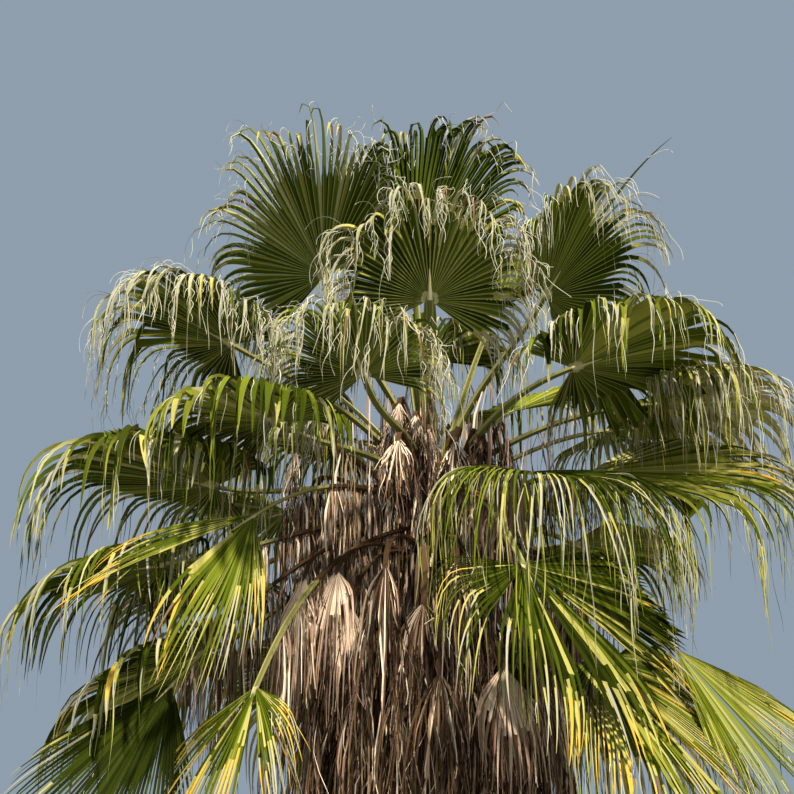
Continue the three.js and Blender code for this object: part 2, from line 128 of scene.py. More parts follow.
def addStrips(bag, rings, slots, capFrom=0):
    count, stations, ring = rings.shape[:3]
    first = bag["size"]
    rows = np.arange(count)[:, None, None] * stations + np.arange(stations - 1)[None, :, None]
    base = first + rows * ring
    here = np.arange(ring)[None, None, :]
    after = (here + 1) % ring
    quads = np.stack([base + here, base + after, base + after + ring, base + here + ring], -1)
    slots = np.broadcast_to(slots, (count, stations - 1, ring))
    bag["points"].append(rings.reshape(-1, 3))
    bag["quads"].append(quads.reshape(-1, 4))
    bag["quadSlots"].append(slots.reshape(-1))
    low = first + np.arange(count) * stations * ring
    high = low + (stations - 1) * ring
    order = [(capFrom + i) % ring for i in range(ring)]
    for i in range(1, ring - 1):
        a, b, c = order[0], order[i], order[i + 1]
        bag["tris"] += [np.stack([high + a, high + b, high + c], -1),
                        np.stack([low + a, low + c, low + b], -1)]
        bag["triSlots"] += [slots[:, -1, 0], slots[:, 0, 0]]
    bag["size"] += count * stations * ring


def makePiece(name, bag, materials):
    points, quads, tris = (np.concatenate(bag[key]) for key in ("points", "quads", "tris"))
    corners = np.concatenate([quads.ravel(), tris.ravel()]).astype(np.int32)
    starts = np.concatenate([np.arange(len(quads)) * 4, len(quads) * 4 + np.arange(len(tris)) * 3])
    slots = np.concatenate(bag["quadSlots"] + bag["triSlots"]).astype(np.int32)
    mesh = bpy.data.meshes.new(name)
    mesh.vertices.add(len(points))
    mesh.vertices.foreach_set("co", points.astype(np.float32).ravel())
    mesh.loops.add(len(corners))
    mesh.loops.foreach_set("vertex_index", corners)
    mesh.polygons.add(len(starts))
    mesh.polygons.foreach_set("loop_start", starts.astype(np.int32))
    for material in materials:
        mesh.materials.append(material)
    mesh.polygons.foreach_set("material_index", slots)
    mesh.polygons.foreach_set("use_smooth", np.full(len(starts), False))
    mesh.update(calc_edges=True)
    piece = bpy.data.objects.new(name, mesh)
    bpy.context.collection.objects.link(piece)
    return piece


def squareTo(way, across):  # across, made square to the way
    return unit(across - (across * way).sum(-1, keepdims=True) * way)


def turnedBy(twist, level, under):
    return np.cos(twist)[..., None] * level + np.sin(twist)[..., None] * under


def sweep(paths, across, shape, wide, high):  # rings of one outline along many paths
    way = unit(np.gradient(paths, axis=1))
    across = squareTo(way, across)
    over = np.cross(way, across)
    shape = np.asarray(shape, float)
    return (paths[:, :, None] + across[:, :, None] * (shape[:, 0] * wide[:, :, None])[..., None]
            + over[:, :, None] * (shape[:, 1] * high[:, :, None])[..., None])


# finishes
finishKept = {"gloss": 0.02, "grainDetail": 3, "grainDeep": 0.004}


def plainFinish(name, color, rough, grain=0.0, grainScale=60.0):
    material = bpy.data.materials.new(name)
    material.use_nodes = True
    nodes, links = material.node_tree.nodes, material.node_tree.links
    shader = nodes["Principled BSDF"]
    shader.inputs["Base Color"].default_value = (*color, 1)
    shader.inputs["Roughness"].default_value = rough
    shader.inputs["Specular IOR Level"].default_value = finishKept["gloss"]
    material.diffuse_color = (*color, 1)
    if grain:
        place = nodes.new("ShaderNodeTexCoord")
        fibre = nodes.new("ShaderNodeTexNoise")
        fibre.inputs["Scale"].default_value = grainScale
        fibre.inputs["Detail"].default_value = finishKept["grainDetail"]
        bump = nodes.new("ShaderNodeBump")
        bump.inputs["Strength"].default_value = grain
        bump.inputs["Distance"].default_value = finishKept["grainDeep"]
        links.new(place.outputs["Object"], fibre.inputs["Vector"])
        links.new(fibre.outputs["Fac"], bump.inputs["Height"])
        links.new(bump.outputs["Normal"], shader.inputs["Normal"])
    return material


def paintSet(kind, finish, grain, grainScale):  # a material for each name, and its number in the list
    materials = [plainFinish(f"{kind}_{name}", color, rough, grain, grainScale)
                 for name, (color, rough) in finish.items()]
    return materials, {name: i for i, name in enumerate(finish)}


# the greens from shade to pale are shaded and lit copies of one leaf green, with some tone of its own:
# painted shade and painted sun; the under greens are darker than the tops as painted shade under the blade
leafFinish = {  # base colour, roughness
    "topShade": ((0.016, 0.021, 0.002), 0.6), "topDeep": ((0.031, 0.043, 0.002), 0.6),
    "topMid": ((0.067, 0.090, 0.004), 0.6), "topFresh": ((0.143, 0.168, 0.011), 0.6),
    "topSun": ((0.285, 0.280, 0.045), 0.6), "topPale": ((0.500, 0.470, 0.195), 0.6),
    "underShade": ((0.013, 0.020, 0.002), 0.65), "underDeep": ((0.028, 0.042, 0.003), 0.65),
    "underMid": ((0.062, 0.084, 0.006), 0.65), "underPale": ((0.120, 0.150, 0.016), 0.65),
    "rib": ((0.240, 0.255, 0.065), 0.6), "heart": ((0.520, 0.480, 0.260), 0.6),
    "yellow": ((0.600, 0.390, 0.055), 0.6), "yellowGreen": ((0.420, 0.380, 0.100), 0.6),
    "straw": ((0.400, 0.370, 0.200), 0.75), "strawGrey": ((0.390, 0.370, 0.255), 0.8),
    "brownTip": ((0.190, 0.115, 0.052), 0.8),
}
# dryPale is the pale of dead leaves made paler still, and dryLit a sunlit copy of dryRose: both partly
# painted sunlight
dryFinish = {
    "dryPale": ((0.860, 0.670, 0.480), 0.8), "dryTan": ((0.330, 0.220, 0.125), 0.8),
    "dryBrown": ((0.115, 0.066, 0.035), 0.85), "dryDark": ((0.028, 0.017, 0.010), 0.9),
    "dryRose": ((0.400, 0.250, 0.175), 0.8), "dryGrey": ((0.300, 0.245, 0.185), 0.85),
    "dryLit": ((0.640, 0.450, 0.320), 0.8),
}
stalkFinish = {
    "stalkGreen": ((0.130, 0.150, 0.035), 0.4), "stalkTop": ((0.190, 0.200, 0.055), 0.45),
    "stalkEdge": ((0.360, 0.320, 0.110), 0.5), "stalkFoot": ((0.085, 0.049, 0.024), 0.85),
    "tooth": ((0.220, 0.120, 0.040), 0.5), "sheath": ((0.066, 0.038, 0.020), 0.9),
    "stalkPale": ((0.560, 0.500, 0.260), 0.6),
}
leafMaterials, leafSlot = paintSet("leaf", leafFinish, 0.25, 90)
dryMaterials, drySlot = paintSet("dry", dryFinish, 0.4, 70)
stalkMaterials, stalkSlot = paintSet("stalk", stalkFinish, 0.2, 120)
threadMaterial = plainFinish("leaf_thread", (0.58, 0.55, 0.40), 0.7, grain=0.2, grainScale=150)
print("finishes ready")


# a frond's frame, stalk and leaflet paths
def frondFrame(row):
    az, yaw = math.radians(row["az"]), math.radians(row["az"] + row["yaw"])
    axis = heading(yaw, math.radians(row["pitch"]))
    level = np.array([-math.sin(yaw), math.cos(yaw), 0])
    roll = math.radians(row["roll"])
    side = math.cos(roll) * level + math.sin(roll) * np.cross(axis, level)
    up = np.cross(axis, side)
    hub = np.array([row["reach"] * math.cos(az), row["reach"] * math.sin(az), row["hubZ"]])
    footR = trunkRadius(row["footZ"]) - growth["footDepth"]
    foot = np.array([footR * math.cos(az), footR * math.sin(az), row["footZ"]])
    return {"row": row, "az": az, "axis": axis, "side": side, "up": up, "hub": hub, "foot": foot}


def stalkPath(f, stations):
    t = np.asarray(stations)[:, None]
    run = np.linalg.norm(f["hub"] - f["foot"])
    near = f["foot"] + heading(f["az"], math.radians(f["row"]["rise"])) * run * growth["footPull"]
    far = f["hub"] - f["axis"] * run * growth["hubPull"]
    s = 1 - t
    return s ** 3 * f["foot"] + 3 * s * s * t * near + 3 * s * t * t * far + t ** 3 * f["hub"]


def leafletPaths(f, u, length, droopBy, fallBy, sway, stretch):  # u from -1 to 1 across the blade
    row, steps = f["row"], growth["pathSteps"]
    droop = row["droop"] * (1 + row.get("sideFall", 0) * u) * droopBy
    power = row.get("fall", growth["fall"]) * fallBy
    angle = np.radians(row["lean"] + u * row["span"])[:, None]
    out = unit(np.cos(angle) * f["axis"] + np.sin(angle) * f["side"]
               + growth["cup"] * np.abs(np.sin(angle)) * f["up"])
    across = -np.sin(angle) * f["axis"] + np.cos(angle) * f["side"]
    t = (np.arange(steps) + 0.5) / steps
    free = np.clip((t - row["split"]) / (1 - row["split"]), 0, 1)
    w = np.minimum(growth["mostFall"], growth["arch"] * t * t + droop[:, None] * free ** power[:, None])
    way = unit((1 - w)[..., None] * out[:, None] + w[..., None] * down
               + (sway[:, None] * free)[..., None] * across[:, None])
    step = length[:, None] / steps * np.where(t < row["split"], 1, stretch[:, None])
    at = np.concatenate([np.zeros((len(u), 1, 3)), np.cumsum(way * step[..., None], 1)], 1) + f["hub"]
    return at, way, across


def alongPath(path, t):  # points at the shares t, one row of shares for each path
    x = np.clip(t, 0, 1) * (path.shape[1] - 1)
    k = np.minimum(path.shape[1] - 2, x.astype(int))
    rows = np.arange(len(path))[:, None]
    return path[rows, k] + (path[rows, k + 1] - path[rows, k]) * (x - k)[..., None]


# green fans
fanShape = {
    "hubGap": 0.03, "pleat": 0.95, "foldFree": 1.0, "valleyAside": 0.4,
    "thick": 0.0025, "ribWide": 0.0032, "breadth": (0.85, 1.1), "broadFrom": 0.25,
    "joined": [0, 0.06, 0.3, 0.64, 1], "free": [0.05, 0.13, 0.23, 0.34, 0.46, 0.6, 0.74, 0.88, 1],
    "taperAt": [0, 0.05, 0.2, 0.4, 0.65, 0.88, 1], "taper": [1, 0.88, 0.74, 0.58, 0.4, 0.22, 0.06],
    "wave": 0.035, "waves": 3.2, "ownLength": (0.9, 1.0), "droop": (0.82, 1.08), "fall": (0.65, 1.3),
    "torn": 0.04, "tornFall": 0.2, "sway": 0.08, "bundleSway": 0.1, "gather": 0.7,
    "twist": 0.7, "twistPower": 1.2, "notch": (0.1, 0.9), "joinedTilt": {9: 0.45, 17: 0.6},
    # leaflets that stay straight, and leaflets that are shorter: middle and half breadth, part of the length
    "strays": {4: (-0.14, 0.035, 1.25)}, "strayDroop": 0.15,
    "shorter": {11: (-0.05, 0.25, 0.8), 17: (0.6, 0.55, 0.8)},
}
# for each frond that shows: shares of dry tips and yellow leaflets, brightness, partly the leaves' own tone
# and partly painted sun and shade on the whole blade | share and length of hanging strips | how much stays
# joined, unevenness of that | leaflets, their breadth | share of threads | how many steps paler the narrow
# side of a pleat is, painted sun and shade on the two sides of each pleat
lookKeys = ["dry", "yellow", "toneAndPaintedLight", "strips", "stripLong", "joined", "uneven",
            "leaflets", "broad", "threads", "edge"]
fanLooks = [
    [0.35, 0, 0.2, 0.12, 0.4, 0.95, 0.3, 48, 1.1, 2.2, 2],
    [0.35, 0, -0.7, 0.05, 0.4, 1.1, 0.3, 48, 1.35, 1, 1],
    [0.95, 0, 0.1, 0.7, 0.35, 1, 0.3, 50, 0.8, 3, 2],
    [0.65, 0, 0.15, 0.3, 0.5, 0.95, 0.3, 48, 1, 1.8, 2],
    [0.65, 0, 0.6, 0.8, 0.5, 0.95, 0.4, 50, 0.9, 2.2, 1],
    [0.85, 0, 0.15, 0.9, 0.55, 0.95, 0.3, 50, 0.85, 2.6, 1],
    [0.35, 0, 0.75, 0.35, 0.6, 1.1, 0.4, 52, 0.75, 1.2, 1],
    [0.6, 0, 1.45, 0.8, 0.75, 0.95, 0.4, 48, 1, 1.4, 2],
    [0.35, 0, 0, 0.5, 0.6, 0.95, 0.2, 54, 1, 0.3, 1],
    [0.1, 0, 0.75, 0.3, 0.7, 1.25, 0.3, 54, 1.35, 0.2, 1],
    [0.3, 0.08, 0.75, 0, 0.5, 1.0, 0.4, 44, 1.2, 0.03, 1],
    [0.4, 0.02, 0, 0.3, 0.7, 0.9, 0.4, 48, 1, 0.1, 1],
    [0.4, 0.08, 0.1, 0.35, 0.7, 0.9, 0.5, 46, 1, 0.1, 1],
    [0.03, 0, -0.9, 0.08, 0.5, 0.55, 0.5, 44, 1.2, 0.02, 1],
    [0.3, 0.3, 0.7, 0.05, 0.5, 0.9, 0.8, 40, 1.3, 0.03, -1],
    [0.35, 0, 0.86, 1.4, 0.8, 0.7, 0.5, 56, 1, 0.3, -1],
    [0.25, 0.04, -0.2, 0.1, 0.5, 1.05, 0.3, 72, 1, 0.05, 1],
    [0.12, 0.08, 0.95, 0.3, 0.6, 0.9, 0.5, 60, 1, 0.05, 1],
    [0.5, 0.02, 0.3, 0.9, 0.8, 1, 0.4, 50, 1, 0.3, 2],
    [0.3, 0.3, 0.75, 0.7, 0.8, 0.85, 0.6, 60, 1, 0.05, 1],
    [0.5, 0, 0.4, 0.4, 0.8, 0.9, 0.4, 44, 1, 0.3, 1],
]
# the fans of the far side, and what changes towards the oldest
farLook = {"dry": 0.6, "yellow": 0, "toneAndPaintedLight": 0.35, "strips": 0.5, "stripLong": 0.75, "joined": 0.85,
           "uneven": 0.4, "leaflets": 44, "broad": 1, "threads": 0.5, "edge": 1}
farAging = {"dry": -0.2, "yellow": 0.3, "toneAndPaintedLight": 0.3}
# leaflets of a blade that the sun shines through: middle and half breadth across the blade
sunThrough = {1: (-0.6, 0.4), 2: (0.6, 0.35), 3: (0.3, 0.25), 4: (-0.6, 0.45), 5: (0.5, 0.3), 7: (-0.2, 0.4),
              8: (0, 0.7), 9: (0.2, 0.3), 19: (0, 0.6)}
# blades that are dry on one side only: how much less towards the other
dryOneSide = {6: 1.7, 9: 0.8}
# leaflets that have turned golden: middle and half breadth, and from which share of their free part
golden = {11: (-0.7, 0.4, 0.3), 15: (0, 0.45, 0.15), 17: (0.05, 0.3, 0.35), 20: (-0.3, 0.55, 0.25)}
# where a blade is torn between groups of leaflets that hang together, and how far the groups stand apart
fanGroups = {11: (-0.3,), 15: (-0.35, 0.35), 17: (-0.5, -0.1, 0.2), 18: (-0.1,), 20: (-0.4, 0.1, 0.6)}
groupGap = {11: 0.42, 15: 0.2, 17: 0.06, 18: 0.06, 20: 0.08}


def shares(weights):
    weights = np.asarray(weights, float)
    return weights / weights.sum()


def pick(rng, count, weights):
    return rng.choice([leafSlot[name] for name in weights], count, p=shares(list(weights.values())))


def bladeWave(f, u, t, phase):  # slow rise and fall round the blade, none at the hub
    lift = fanShape["wave"] * np.sin(fanShape["waves"] * u * math.pi / 2 + phase)
    return (lift[:, None] * t ** 1.5)[..., None] * f["up"]


def fanRings(f, look, coarse, seed, rng):
    row, s, count = f["row"], fanShape, look["leaflets"]
    phase = rng.uniform(0, 6.28)
    edges = np.linspace(-1, 1, count + 1)
    mids = (edges[:-1] + edges[1:]) / 2
    smooth = lambda u: row["blade"] * (1 - growth["sideShorter"] * u * u)
    lefts, rights = edges[:-1], edges[1:]
    for place in fanGroups.get(seed, ()):
        away = np.sign(mids - place) * groupGap[seed] / 2
        lefts, mids, rights = (u + away * (1 - np.abs(u)) / (1 - abs(place)) for u in (lefts, mids, rights))
    one = np.ones(count)
    leftPath, rightPath = (leafletPaths(f, u, smooth(u), one, one, 0 * u, one)[0] for u in (lefts, rights))
    sector = np.minimum(coarse - 1, ((mids + 1) / 2 * coarse).astype(int))
    own = smooth(mids) * uneven(growth["lengthSpread"], chance(seed, sector))
    own = own * rng.uniform(*s["ownLength"], count)
    droopBy = rng.uniform(*s["droop"], count)
    if seed in s["strays"]:
        middle, near, longer = s["strays"][seed]
        stray = np.abs(mids - middle) < near
        droopBy, own = np.where(stray, s["strayDroop"], droopBy), np.where(stray, own * longer, own)
    if seed in s["shorter"]:
        middle, near, part = s["shorter"][seed]
        own = own * (1 - (1 - part) * np.clip(1.5 - np.abs(mids - middle) / near, 0, 1))
    stretch = (own - row["split"] * smooth(mids)) / ((1 - row["split"]) * smooth(mids))
    fallBy = rng.uniform(*s["fall"], count)
    fallBy = np.where(rng.random(count) < s["torn"], s["tornFall"], fallBy)
    sway = rng.normal(0, s["sway"], count) + rng.normal(0, s["bundleSway"], coarse)[sector]
    torn = [-1, *fanGroups.get(seed, ()), 1]
    if len(torn) > 2:
        group = np.searchsorted(torn[1:-1], mids)
        middles = (np.array(torn[:-1]) + np.array(torn[1:])) / 2
        sway = sway + s["gather"] * (middles[group] - mids) * math.radians(row["span"])
    midPath, _, across = leafletPaths(f, mids, smooth(mids), droopBy, fallBy, sway, stretch)
    notch = row["split"] * look["joined"] * (1 + look["uneven"] * (rng.uniform(-0.5, 0.5, count)
                                                                   + rng.uniform(-0.5, 0.5, coarse)[sector]))
    notch = np.clip(notch * (1 + s["joinedTilt"].get(seed, 0) * mids), *s["notch"])
    start = s["hubGap"] / (notch * smooth(mids))
    joined = notch[:, None] * (start[:, None] + (1 - start[:, None]) * np.array(s["joined"]))
    free = notch[:, None] + (1 - notch[:, None]) * np.array(s["free"])
    t = np.concatenate([joined, free], 1)
    path = alongPath(midPath, t) + bladeWave(f, mids, t, phase)
    left = alongPath(leftPath, joined) + bladeWave(f, lefts, joined, phase)
    right = alongPath(rightPath, joined) + bladeWave(f, rights, joined, phase)
    way = unit(np.gradient(path, axis=1))
    level = squareTo(way, across[:, None])
    under = np.cross(level, way)
    n, share = len(s["joined"]), np.array(s["free"])
    halfJoined = np.linalg.norm(right - left, axis=-1) / 2
    taper = np.interp(share, s["taperAt"], s["taper"])
    taper = taper * (1 + (look["broad"] - 1) * np.minimum(1, share / s["broadFrom"]))
    halfFree = halfJoined[:, -1:] * taper * rng.uniform(*s["breadth"], count)[:, None]
    twist = rng.normal(0, s["twist"], count)[:, None] * share ** s["twistPower"]
    turned = turnedBy(twist, level[:, n:], under[:, n:])
    left = np.concatenate([left, path[:, n:] - turned * halfFree[..., None]], 1)
    right = np.concatenate([right, path[:, n:] + turned * halfFree[..., None]], 1)
    under[:, n:] = np.cross(turned, way[:, n:])
    level[:, n:] = turned
    half = np.concatenate([halfJoined, halfFree], 1)
    depth = half * np.concatenate([np.full(n, s["pleat"]), np.full(len(share), s["foldFree"])])
    thick = np.minimum(s["thick"], half * 0.5)
    rib = np.minimum(s["ribWide"], half * 0.3)
    aside = level * (half * s["valleyAside"])[..., None]
    lowest = path + under * depth[..., None] + aside
    rings = np.stack([right, path + aside + under * (depth - thick)[..., None], left,
                      lowest - level * rib[..., None], lowest + level * rib[..., None]], 2)
    return rings, left, right, path, way


# how a blade's colours are dealt out to its leaflets
fanTones = {
    "tops": ["topShade", "topDeep", "topMid", "topFresh", "topSun", "topPale"],
    "unders": ["underShade", "underDeep", "underMid", "underPale", "topSun", "topPale"],
    "dark": 1.3, "freshPower": 1.5, "paleUnder": 0.7, "sunAt": 0.8, "sunNear": 0.2, "blur": 0.07,
    "goldenMore": 0.6, "yellowWithin": 0.55, "greening": 0.15, "greenWithin": 0.6, "greenLead": 0.25,
    "foldLead": 0.18, "greenFrom": 0.1, "yellowJoined": 0.5, "dryFrom": (0.2, 0.95), "dryEarly": 1.35,
    "fadeLead": 0.14, "tips": {"straw": 1, "strawGrey": 0.9, "brownTip": 0.2},
}


def fanSlots(look, number, rng):
    dry, yellow, toneAndPaintedLight, count = (look[key] for key in ("dry", "yellow", "toneAndPaintedLight", "leaflets"))
    s, tones = fanShape, fanTones
    joinedSpans = len(s["joined"]) - 1
    spans = joinedSpans + len(s["free"])
    u = np.linspace(-1, 1, count)
    # a whole step darker is painted shade on the blade, a step paler painted sun, besides the leaves' own
    # tone
    base = math.floor(toneAndPaintedLight + 0.1)  # whole steps shift every colour of the blade
    toneAndPaintedLight = min(1, max(0, toneAndPaintedLight - 0.5 * base))
    slotsOf = lambda side, steps: np.array([leafSlot[name] for name in tones[side]])[
        np.clip(steps + base + 1, 0, 5)]
    dark = tones["dark"] * (1 - toneAndPaintedLight)
    top = rng.choice(3, count, p=shares([dark, 1, toneAndPaintedLight ** tones["freshPower"]]))
    under = rng.choice(3, count, p=shares([dark, 1, tones["paleUnder"] * toneAndPaintedLight]))
    middle, near = sunThrough.get(number, (rng.uniform(-tones["sunAt"], tones["sunAt"]), tones["sunNear"]))
    under = under + (np.abs(u - middle) < near)
    # one side of each pleat is shifted by the blade's edge steps and a random step: painted sun and shade on
    # the pleat's two sides, with some spread of tone
    lift = rng.choice([-1, 0, 0, 1], count) + look["edge"]
    # on a blade shifted darker the ribs take a dark under green too: painted shade
    ribs = np.full(count, leafSlot["rib" if base >= 0 else "underPale"])
    slots = np.stack([slotsOf("tops", top + lift), slotsOf("tops", top), slotsOf("unders", under), ribs,
                      slotsOf("unders", under + lift)], -1)
    slots = slots[:, None, :].repeat(spans, 1)
    slots[:, 0, 2:] = leafSlot["heart"]
    place = np.concatenate([np.zeros(joinedSpans), s["free"]])[None, :, None]
    place = place + rng.uniform(-tones["blur"], tones["blur"], (count, 1, 5))
    middle, near, begins = golden.get(number, (0, -1, 0))
    isGolden = np.abs(u - middle) < near
    isYellow = rng.random(count) < yellow + tones["goldenMore"] * isGolden
    yellowFrom = begins * isGolden + rng.uniform(0, tones["yellowWithin"], count)
    yellowFrom = np.where(isYellow, yellowFrom, 9)[:, None, None]
    greening = rng.random(count) < yellow + tones["greening"]
    greening = np.where(greening, rng.uniform(0, tones["greenWithin"], count), 9)[:, None, None]
    greening = np.where(isYellow[:, None, None], np.minimum(greening, yellowFrom - tones["greenLead"]),
                        np.maximum(greening, tones["greenFrom"]))
    greening = greening + tones["foldLead"] * np.array([0, 1, 1, 0, 0])  # folds fade first
    slots[place > greening] = leafSlot["yellowGreen"]
    slots[place > yellowFrom] = leafSlot["yellow"]
    joinedYellow = isYellow & (rng.random(count) < tones["yellowJoined"])
    slots[joinedYellow, 2:joinedSpans, :2] = leafSlot["yellowGreen"]
    tips = pick(rng, count, tones["tips"])
    dryFrom = rng.uniform(*tones["dryFrom"], count) * min(1, tones["dryEarly"] - dry)
    drier = np.clip(1 + dryOneSide.get(number, 0) * u, 0, 1)
    dryFrom = np.where(rng.random(count) < dry * drier, dryFrom, 1.2)[:, None, None]
    fading = (place > dryFrom - tones["fadeLead"]) & (place > 0.1)
    slots = np.where(fading & (slots != leafSlot["yellow"]), leafSlot["yellowGreen"], slots)
    return np.where(place > dryFrom, tips[:, None, None], slots)


threadShape = {
    "perFan": 120, "length": (0.08, 0.36), "radius": 0.0025, "thinTip": 0.55, "stations": 9,
    "turns": (2, 7), "fall": (0.4, 1.8), "mostFall": 0.95, "calmDown": 0.6,
    "curls": 0.65, "fewCurls": 0.25, "curly": (1, 2, 3, 5, 6),
}
ribbonShape = {
    "most": 190, "length": (0.25, 0.95), "wide": (0.004, 0.010), "thick": 0.004, "stations": 7,
    "fallFrom": 0.35, "fallBy": 2.2, "mostFall": 0.97, "sway": 0.12, "twist": 1.6,
    "wideAt": [0, 0.15, 0.7, 1], "wideBy": [0.5, 1, 0.7, 0.15],
    "ring": [(1, 0.1), (0, 0.35), (-1, 0.1), (0, -0.35)],
    "highFans": 8,  # the paler, drier colours of the high fans, then those of all others
    "highTones": {"straw": 1, "strawGrey": 0.9, "yellowGreen": 0.4, "brownTip": 0.1, "topMid": 0.4,
                  "topSun": 0.4},
    "tones": {"straw": 0.6, "strawGrey": 0.4, "yellowGreen": 0.6, "brownTip": 0.25, "topMid": 1.2,
              "topSun": 0.9},
}


def fineThreads(bag, start, way, length, curls, rng):  # thin curling hairs
    s, count = threadShape, len(start)
    t = np.linspace(0, 1, s["stations"])
    curl = rng.normal(0, 1, (count, 3))
    turn = rng.uniform(*s["turns"], count)[:, None] * t[None] + rng.uniform(0, 6, count)[:, None]
    side = unit(np.cross(way, curl))
    other = np.cross(way, side)
    fall = np.clip(t[None] * rng.uniform(*s["fall"], count)[:, None], 0, s["mostFall"])
    spiral = np.cos(turn)[..., None] * side[:, None] + np.sin(turn)[..., None] * other[:, None]
    step = ((1 - fall)[..., None] * way[:, None] + fall[..., None] * down
            + curls * spiral * (1 - s["calmDown"] * fall)[..., None])
    path = start[:, None] + np.cumsum(unit(step) * (length[:, None, None] / s["stations"]), 1)
    path[:, 0] = start
    wide = s["radius"] * np.interp(t, [0, 1], [1, s["thinTip"]])[None].repeat(count, 0)
    ring = [(math.cos(a), math.sin(a)) for a in (0, 2 * math.pi / 3, 4 * math.pi / 3)]
    addStrips(bag, sweep(path, np.broadcast_to(side[:, None], path.shape), ring, wide, wide), 0)


def hangingRibbons(bag, start, way, across, length, wide, slots, rng):  # dry strips that hang
    s, count = ribbonShape, len(start)
    t = np.linspace(0, 1, s["stations"])
    fall = np.clip(s["fallFrom"] + s["fallBy"] * t, 0, s["mostFall"])[None, :, None]
    sway = rng.normal(0, s["sway"], (count, 1, 3))
    step = unit((1 - fall) * way[:, None] + fall * down + sway * np.sin(5 * t + 1)[None, :, None])
    path = start[:, None] + np.cumsum(step * (length[:, None, None] / s["stations"]), 1)
    path[:, 0] = start
    twist = rng.normal(0, s["twist"], count)[:, None] * t[None]
    level = turnedBy(twist, across[:, None], np.cross(across, down)[:, None])
    half = wide[:, None] / 2 * np.interp(t, s["wideAt"], s["wideBy"])[None]
    addStrips(bag, sweep(path, level, s["ring"], half, np.minimum(half, s["thick"])), slots[:, None, None])


greenRows = [dict(zip(frondKeys, values)) for values in seenFronds]
for i in range(farSide["count"]):
    x = i / (farSide["count"] - 1) * (len(farSide["stations"]) - 1)
    k = min(len(farSide["stations"]) - 2, int(x))
    az = farSide["first"] + farSide["spread"] * ((farSide["start"] + i * farSide["golden"]) % 1)
    row = {"az": az, "yaw": 0, "roll": 0, "lean": 0}
    for c, key in enumerate(farSide["keys"]):
        a, b = farSide["stations"][k][c], farSide["stations"][k + 1][c]
        row[key] = a + (b - a) * (x - k)
    greenRows.append(row)

threadBag, ribbonBags = newBag(), [newBag(), newBag()]
greenFrames = []
for i, row in enumerate(greenRows):
    number = i + 1
    seen = number <= len(seenFronds)
    rng = np.random.default_rng(700 + number)
    f = frondFrame(row)
    greenFrames.append(f)
    look = dict(zip(lookKeys, fanLooks[i])) if seen else dict(farLook)
    if not seen:
        age = (number - len(seenFronds)) / farSide["count"]
        look["dry"] += farAging["dry"] * age
        look["yellow"] += farAging["yellow"] * age ** 2
        look["toneAndPaintedLight"] += farAging["toneAndPaintedLight"] * age
    count = look["leaflets"]
    rings, left, right, path, way = fanRings(f, look, 13 if seen else 11, number, rng)
    bag = newBag()
    addStrips(bag, rings, fanSlots(look, number, rng), capFrom=1)
    fan = makePiece(f"fan_{number:02d}", bag, leafMaterials)
    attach(fan, "root")
    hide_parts(f"frond_{number:02d}")
    n = len(fanShape["joined"])
    who = rng.integers(0, count, int(threadShape["perFan"] * look["threads"]))
    at = rng.integers(n - 1, n + 8, len(who))
    fineThreads(threadBag, left[who, at], way[who, at], rng.uniform(*threadShape["length"], len(who)),
                threadShape["curls" if number in threadShape["curly"] else "fewCurls"], rng)
    who = rng.integers(0, count, int(ribbonShape["most"] * look["strips"]))
    at = rng.integers(n, n + 8, len(who))
    slots = pick(rng, len(who), ribbonShape["highTones" if number <= ribbonShape["highFans"] else "tones"])
    hangingRibbons(ribbonBags[0 if seen else 1], path[who, at], way[who, at],
                   unit(right[who, at] - left[who, at]),
                   rng.uniform(*ribbonShape["length"], len(who)) * look["stripLong"],
                   rng.uniform(*ribbonShape["wide"], len(who)), slots, rng)
threads = makePiece("leafThreads", threadBag, [threadMaterial])
ribbons = makePiece("leafRibbons", ribbonBags[0], leafMaterials)
farRibbons = makePiece("farRibbons", ribbonBags[1], leafMaterials)
for piece in (threads, ribbons, farRibbons):
    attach(piece, "root")
print("fans grown:", len(greenRows))


# dry strips caught on the stalks
caughtShape = {
    "perStalk": 32, "length": (0.2, 0.75), "wide": (0.006, 0.018), "from": 0.04, "to": 0.55, "power": 1.6,
    # the fuller stalks: strips, and how far along the stalk
    "fuller": {9: (130, 0.6), 11: (110, 0.5), 12: (130, 0.7), 13: (160, 0.9), 14: (190, 0.97), 15: (110, 0.8),
               16: (150, 0.98), 17: (110, 0.7), 18: (110, 0.8), 19: (170, 0.98), 20: (170, 0.9)},
    "fullerPower": 0.8, "sunk": 0.015, "tones": [0.2, 0.26, 0.22, 0.12, 0.1, 0.1, 0],
}
caughtBag = newBag()
for i, f in enumerate(greenFrames):
    s = caughtShape
    rng = np.random.default_rng(2500 + i)
    count, to = s["fuller"].get(i + 1, (s["perStalk"], s["to"]))
    power = s["power" if count == s["perStalk"] else "fullerPower"]
    t = s["from"] + (to - s["from"]) * rng.random(count) ** power
    start = stalkPath(f, t) - np.array([0, 0, s["sunk"]])
    around = unit(rng.normal(0, 1, (count, 3)) * np.array([1, 1, 0.1]))
    slots = rng.choice(len(drySlot), count, p=s["tones"])
    hangingRibbons(caughtBag, start, unit(around * 0.4 + down), around, rng.uniform(*s["length"], count),
                   rng.uniform(*s["wide"], count), slots, rng)
caught = makePiece("caughtStrips", caughtBag, dryMaterials)
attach(caught, "root")


